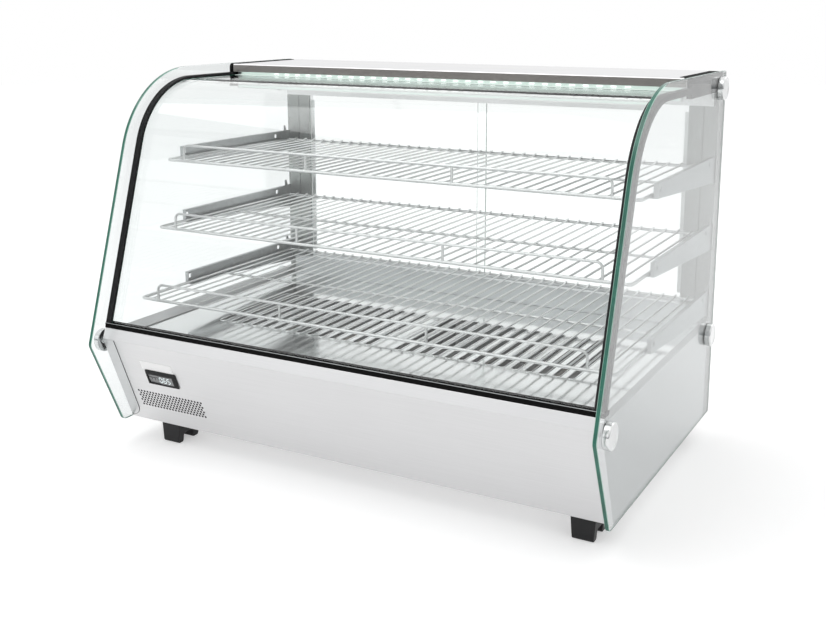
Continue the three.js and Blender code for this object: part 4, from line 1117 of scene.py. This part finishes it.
front_panel = make_panel_sheet()
print("panel sheet faces:", len(front_panel.data.polygons))

# %% [markdown]
# ### Openings in the panel
# One cutter takes out the thermostat's opening and the vent holes. A hole is a cylinder, an Array
# modifier makes a row, and a second row is shifted by half a pitch, as in punched sheet. Another
# cutter shortens the hidden flanges. The faces inside the holes then get black as painted shade.

# %% Panel openings
VENT_HOLE = 4 * MM
VENT_SIDES = 12
THERMOSTAT_UP = 97.6 * MM
HOUSING_WIDTH = 57 * MM
HOUSING_HEIGHT = 23.5 * MM
CUT_REACH = 8 * MM


def vent_cutter():
    rows = []
    for shifted, count in ((0, (VENT_ROWS + 1) // 2), (1, VENT_ROWS // 2)):
        nothing_selected()
        x = panel_low.x + VENT_MARGIN + shifted * VENT_PITCH_X / 2
        bpy.ops.mesh.primitive_cylinder_add(vertices=VENT_SIDES, radius=VENT_HOLE / 2, depth=CUT_REACH,
                                            location=(x, VENT_LOW_UP + shifted * VENT_PITCH_UP, 0))
        hole = bpy.context.object
        settle()
        repeated(hole, VENT_COLUMNS - shifted, (VENT_PITCH_X, 0, 0))
        repeated(hole, count, (0, 2 * VENT_PITCH_UP, 0))
        rows.append(hole)
    opening = block("opening", (thermostat_x, THERMOSTAT_UP, 0),
                    (HOUSING_WIDTH + 2 * SEAT, HOUSING_HEIGHT + 2 * SEAT, CUT_REACH))
    return onto_panel(joined([opening, *rows], "panel_cutter"))


def flange_cutter():
    """Blocks that shorten the two hidden flanges, so that they clear the tray's side walls."""
    blocks = []
    for _, sign in SIDES:
        blocks.append(block("flange_end", (sign * (panel_high.x - LIP_FLANGE / 2 + MM), low("deck_plate").y,
                                           panel_high.z - 12 * MM), (LIP_FLANGE + 2 * MM, 6 * MM, 22 * MM)))
        blocks.append(block("toe_end", (sign * (panel_high.x + MM / 4), toe_y + 10 * MM, panel_low.z + MM),
                            (3.5 * MM, TOE_FLANGE, 2.6 * MM)))
    return joined(blocks, "end_cutter")


def shaded_hole_wall(face):
    return (abs(face.normal.dot(outward)) < 0.5 and -SHEET < off_panel(face) < 0
            and face.center.x < thermostat_x + VENT_COLUMNS * VENT_PITCH_X and face.area < SHEET * VENT_HOLE)


subtract(front_panel, vent_cutter())
subtract(front_panel, flange_cutter())
finish_mesh(front_panel)
dress(front_panel, "case", "stainless", "front_panel")
# the walls inside the vent holes get black as painted shade
holes = paint(front_panel, vent_shade_black, shaded_hole_wall)
print("front panel faces:", len(front_panel.data.polygons), "of them in holes:", holes)

# %% [markdown]
# ## Thermostat and its digits
# The bezel is a moulded frame, so a copy of the CAD node gets rounded edges. The display shows three
# plain digits. A digit has seven bars, and each lit bar is a small block; the joined digit gets its
# edges bevelled.

# %% Bezel and digits
BEZEL_PROUD = 4.4 * MM
BEZEL_HEIGHT = 27.5 * MM
FACE_RECESS = 2 * MM
FACE_WIDTH = 50 * MM
SCREEN_WIDTH = 27 * MM
SCREEN_RISE = 1 * MM
DIGIT_SHIFT = 4 * MM
DIGIT_HEIGHT = 9.4 * MM
DIGIT_WIDTH = 5 * MM
DIGIT_PITCH = 7.8 * MM
BAR_WIDTH = 1.5 * MM
BAR_GAP = BAR_WIDTH * 0.9
BAR_DEPTH = 0.25 * MM
LIT_BARS = {"6": "afgcde", "5": "afgcd", "0": "abcdef"}
SHOWN_NUMBER = "065"

lit_digit = new_finish("lit_digit_white", (0.55, 0.60, 0.60), 0.0, 0.3, "grain", 300, 0.06,
                       Emission_Strength=0.55, Emission_Color=(0.85, 0.97, 1.0, 1))


def digit(number, centre_x, centre_y, z):
    half = DIGIT_HEIGHT / 2
    across = DIGIT_WIDTH / 2
    bars = {"a": (0, half, False), "g": (0, 0, False), "d": (0, -half, False),
            "f": (-across, half / 2, True), "b": (across, half / 2, True),
            "e": (-across, -half / 2, True), "c": (across, -half / 2, True)}
    lit = []
    for title in LIT_BARS[number]:
        x, y, upright = bars[title]
        length = (half if upright else DIGIT_WIDTH) - BAR_GAP
        size = (BAR_WIDTH, length, BAR_DEPTH) if upright else (length, BAR_WIDTH, BAR_DEPTH)
        lit.append(block(f"bar_{title}", (centre_x + x, centre_y + y, z), size))
    return finish_mesh(joined(lit, f"digit_{number}"), BAR_WIDTH / 5, 1)


def make_bezel_and_digits():
    bezel = softened("thermostat_housing", "thermostat_bezel", 0.5 * MM, 2)
    dress(bezel, "case", "black_plastic", "thermostat_housing")
    face_z = BEZEL_PROUD - FACE_RECESS
    film = paint(bezel, finishes["grey_plastic"], lambda face: (
        face.normal.dot(outward) > 0.9 and abs(off_panel(face) - face_z) < MM / 2))
    print("faces of the display's film:", film)
    screen_x = thermostat_x + FACE_WIDTH / 2 - SCREEN_WIDTH / 2 - DIGIT_SHIFT
    first = screen_x - (len(SHOWN_NUMBER) - 1) / 2 * DIGIT_PITCH
    digits = [digit(number, first + index * DIGIT_PITCH, THERMOSTAT_UP, face_z + SCREEN_RISE + BAR_DEPTH / 2)
              for index, number in enumerate(SHOWN_NUMBER)]
    dress(onto_panel(joined(digits, "display_digits")), "case", "grey_plastic", material=lit_digit)


make_bezel_and_digits()
print("thermostat stands at x", round(thermostat_x, 3))

# %% [markdown]
# ### Bare label and keys
# The label above the bezel is a thin glossy plate with round corners and nothing on it. Its
# faint glow is painted light that keeps it bright under the leaning panel. The three keys are
# softened copies of their CAD nodes, and each rides on its own body.

# %% Label and keys
LABEL_WIDTH = 63 * MM
LABEL_HEIGHT = 15.5 * MM
LABEL_LEFT = 36 * MM
LABEL_THICKNESS = 0.4 * MM
LABEL_GAP = 0.8 * MM
LABEL_CORNER = 1.5 * MM
# a faint glow in the label's finish is painted light
label_white_glow = new_finish("bare_label_white_glow", (0.97, 0.97, 0.965), 0.0, 0.3, "grain", 900, 0.03, 0.06, 0.05,
                         Coat_Weight=0.9, Emission_Strength=0.08)


def make_label():
    middle = THERMOSTAT_UP + BEZEL_HEIGHT / 2 + LABEL_GAP + LABEL_HEIGHT / 2
    left = thermostat_x - LABEL_LEFT
    plate = swept_outline("bare_label", rounded_loop(
        left, left + LABEL_WIDTH, middle - LABEL_HEIGHT / 2, middle + LABEL_HEIGHT / 2, 0, LABEL_CORNER),
        (0, 0, LABEL_THICKNESS), 0.12 * MM, 2)
    dress(onto_panel(plate), "case", "grey_plastic", material=label_white_glow)


make_label()
for key in ("set", "down", "up"):
    dress(softened(f"key_{key}", f"key_{key}_cap", 0.35 * MM, 2), f"{key}_key", "grey_plastic", f"key_{key}")
print("label is", round(LABEL_WIDTH / MM), "by", LABEL_HEIGHT / MM, "mm")

# %% [markdown]
# ## Lamp
# The lamp is a strip of small white lights. They sit on a narrow board in the gap between the cover's
# lip and the front glass, above the plain lens that spreads the light. The board and a pale film on
# the glass in front of them glow faintly, as painted light for the lamp's light in that shaded gap.
# Each light is a block with rounded edges, made once and repeated by an Array modifier.

# %% Lamp strip
LIGHT_PITCH = 21.9 * MM
LIGHT_WIDTH = 8.5 * MM
LIGHT_HEIGHT = 2.2 * MM
LIGHT_DEPTH = 0.6 * MM
LIGHT_SPAN = 650 * MM
BOARD_DEPTH = 1.5 * MM
FILM_DEPTH = 20 * MM
FILM_THICKNESS = 0.25 * MM
FILM_LIFT = 0.02 * MM
light_white = new_finish("lamp_light_white", (0.95, 0.97, 0.95), 0.0, 0.3, "grain", 300, 0.04,
                         Emission_Strength=1.1, Emission_Color=(0.93, 1.0, 0.96, 1))
# a faint glow on the board and the film: painted light for the lamp's light in the shaded gap
painted_lamp_glow = new_finish("lamp_board_painted_glow", (0.70, 0.77, 0.735), 0.0, 0.5, "grain", 500, 0.06,
                        Emission_Strength=0.42, Emission_Color=(0.85, 1.0, 0.93, 1))


def make_lamp_strip():
    lo, hi = span("lamp_lens")
    dress(softened("lamp_lens", "lamp_lens_soft", 0.4 * MM), "case", "lens", "lamp_lens")
    width = hi.x - lo.x
    gap_low = high("front_glass").z + SEAT
    gap_high = low("top_cover").z - SEAT
    middle_z = (gap_low + gap_high) / 2
    board_y = low("front_crossbar").y - SEAT - BOARD_DEPTH / 2
    front_y = board_y - BOARD_DEPTH / 2
    board = soft_block("lamp_board", (0, board_y, middle_z), (width, BOARD_DEPTH, gap_high - gap_low), 0.2 * MM)
    dress(board, "case", "lens", material=painted_lamp_glow)
    film_z = high("front_glass").z + FILM_THICKNESS / 2 + FILM_LIFT
    film = soft_block("lamp_glow_film", (0, front_y - FILM_DEPTH / 2, film_z), (width, FILM_DEPTH, FILM_THICKNESS),
                      0.05 * MM)
    dress(film, "case", "lens", material=painted_lamp_glow)
    count = int(LIGHT_SPAN / LIGHT_PITCH) + 1
    light = soft_block("lamp_lights", (-(count - 1) * LIGHT_PITCH / 2, front_y - LIGHT_DEPTH / 2, middle_z),
                       (LIGHT_WIDTH, LIGHT_DEPTH, LIGHT_HEIGHT), 0.3 * MM, 2)
    repeated(light, count, (LIGHT_PITCH, 0, 0))
    dress(light, "case", "lens", material=light_white)
    print("lights:", count)


make_lamp_strip()

# %% [markdown]
# ## Rims round the deck's air slots
# Each long slot is pressed, and its edge is rolled up into a low bright rim, which is what shows
# first in the deck. A rim is a closed wire that follows the slot. One is drawn, and an Array
# modifier repeats it for each group.

# %% Slot rims
SLOT_COUNT = 14
SLOT_PITCH = 21.7 * MM
SLOT_WIDTH = 10.6 * MM
SLOT_FIRST_X = 26.8 * MM
SLOT_FRONT_INSET = 146.4 * MM
SLOT_REAR_INSET = 169.5 * MM
RIM_WIRE = 1.5 * MM
RIM_ROUNDNESS = 0.98


def make_slot_rims(side, sign):
    deck_low, deck_high = span("deck_plate")
    half = SLOT_WIDTH / 2 + RIM_WIRE / 4
    front = deck_low.y + SLOT_FRONT_INSET - RIM_WIRE / 4
    rear = deck_high.y - SLOT_REAR_INSET + RIM_WIRE / 4
    x = SLOT_FIRST_X if sign > 0 else -SLOT_FIRST_X - (SLOT_COUNT - 1) * SLOT_PITCH
    loop = rounded_loop(x - half, x + half, front, rear, deck_high.z + RIM_WIRE / 4, half * RIM_ROUNDNESS)
    rim = bent_wire(f"slot_rims_{side}", loop, RIM_WIRE, 6, closed=True)
    repeated(rim, SLOT_COUNT, (SLOT_PITCH, 0, 0))
    dress(rim, "case", "polished_steel")
    print(rim.name, "faces:", len(rim.data.polygons))


for side, sign in SIDES:
    make_slot_rims(side, sign)

# %% [markdown]
# ## Rear doors
# The two sliding panes are cut glass too, so their edges are ground and green like the side
# glasses. A softened copy of each CAD pane gets its edge faces painted.

# %% Doors
for side, _ in SIDES:
    pane = softened(f"door_{side}", f"sliding_pane_{side}", ARRIS / 2, 1)
    dress(pane, f"{side}_door", "clear_glass", f"door_{side}")
    edges = paint(pane, edge_green, lambda face: abs(face.normal.y) < 0.5)
    print(pane.name, "edge faces:", edges)

# %% [markdown]
# ## Rear posts and corner trim
# Each post has a shallow groove down its face, cut by a long block, and the groove's floor is
# painted black as painted shade. Each post's inner return is polished where the door slides past.
# The post's steel is a darker copy of the brushed steel, painted shade for the darker surroundings
# that it mirrors. A thin trim in a darker tone of steel closes the right corner behind the side
# glass. Its front edge is rolled, which shows as one bright line from top to bottom.

# %% Posts
POST_GROOVE_X = 385.6 * MM
POST_GROOVE_WIDTH = 1.2 * MM
POST_GROOVE_DEPTH = 0.8 * MM
TRIM_FRONT_Y = 251 * MM
TRIM_THICKNESS = 0.14 * MM
TRIM_EDGE_WIDTH = 1.2 * MM
# a darker copy of the brushed steel: painted shade for the darker surroundings that the posts mirror
shaded_post_steel = new_finish("post_steel_painted_shade", (0.31, 0.33, 0.32), 1.0, 0.34, "brushed", 900, 0.08, 0.08, 0.05)
# the trim's steel has a darker tone than the brushed steel
darker_trim_steel = new_finish("trim_steel_darker_tone", (0.42, 0.42, 0.42), 1.0, 0.42, "brushed", 900, 0.05, 0.06, 0.04)


def make_post(side, sign):
    node = f"rear_post_{side}"
    lo, hi = span(node)
    post = softened(node, f"rear_post_{side}_soft", 0.35 * MM)
    subtract(post, block("groove_cutter", (sign * POST_GROOVE_X, lo.y, (lo.z + hi.z) / 2),
                         (POST_GROOVE_WIDTH, 2 * POST_GROOVE_DEPTH, hi.z - lo.z + 2 * MM)))
    finish_mesh(post)
    dress(post, "case", "stainless", node, material=shaded_post_steel)
    inner_x = lo.x if sign > 0 else hi.x
    returns = paint(post, finishes["polished_steel"], lambda face: (
        face.normal.x * sign < -0.9 and abs(face.center.x - inner_x) < MM / 4))
    # the groove's floor gets black as painted shade
    groove_shade_faces = paint(post, finishes["black_plastic"], lambda face: (
        face.normal.y < -0.9 and MM / 4 < face.center.y - lo.y < SHEET * 0.9))
    print(post.name, "return faces:", returns, "groove faces:", groove_shade_faces)


def make_corner_trim():
    x = (low("side_glass_right").x + high("base_tray").x) / 2
    rear = high("rear_post_right").y
    foot, top = low("base_tray").z, low("top_cover").z
    plate = soft_block("corner_trim", (x, (TRIM_FRONT_Y + rear) / 2, (foot + top) / 2),
                       (TRIM_THICKNESS, rear - TRIM_FRONT_Y, top - foot), 0.03 * MM)
    dress(plate, "case", "stainless", material=darker_trim_steel)
    edge = soft_block("corner_trim_edge", (x, TRIM_FRONT_Y, (foot + top) / 2),
                      (TRIM_THICKNESS * 1.4, TRIM_EDGE_WIDTH, top - foot), TRIM_THICKNESS / 2, 2)
    dress(edge, "case", "polished_steel")


for side, sign in SIDES:
    make_post(side, sign)
make_corner_trim()

# %% [markdown]
# ## Folded and moulded parts
# Nothing that is folded, cast or moulded has a perfectly sharp edge. These pieces are right in the
# frame as they are, so each gets a merged copy with a small Bevel, which shows as a thin bright
# line along its edges.

# %% Softened parts
SOFT_PARTS = {f"foot_{end}_{side}": 1.2 for end in ("front", "rear") for side, _ in SIDES}
SOFT_PARTS |= {
    "base_tray": 0.3, "rear_bottom_rail": 0.4, "rear_top_rail": 0.4, "front_crossbar": 0.5,
    "lamp_channel": 0.3, "main_switch_housing": 0.4, "lamp_switch_housing": 0.4,
}
SOFT_PARTS |= {f"shelf_arm_{level}_{side}": 0.25 for level in LEVELS for side, _ in SIDES}
OWN_FINISH = {"rear_bottom_rail": rail_steel, "rear_top_rail": pale_aluminium, "lamp_channel": pale_aluminium,
              "front_crossbar": pale_aluminium}
for node, width in SOFT_PARTS.items():
    soft = softened(node, f"{node}_soft", width * MM)
    dress(soft, "case", slot_of[node], node, material=OWN_FINISH.get(node))
for switch in ("main", "lamp"):
    node = f"{switch}_switch_rocker"
    dress(softened(node, f"{node}_soft", 0.5 * MM), f"{switch}_rocker", "black_plastic", node)
print("softened parts:", len(SOFT_PARTS) + 2)
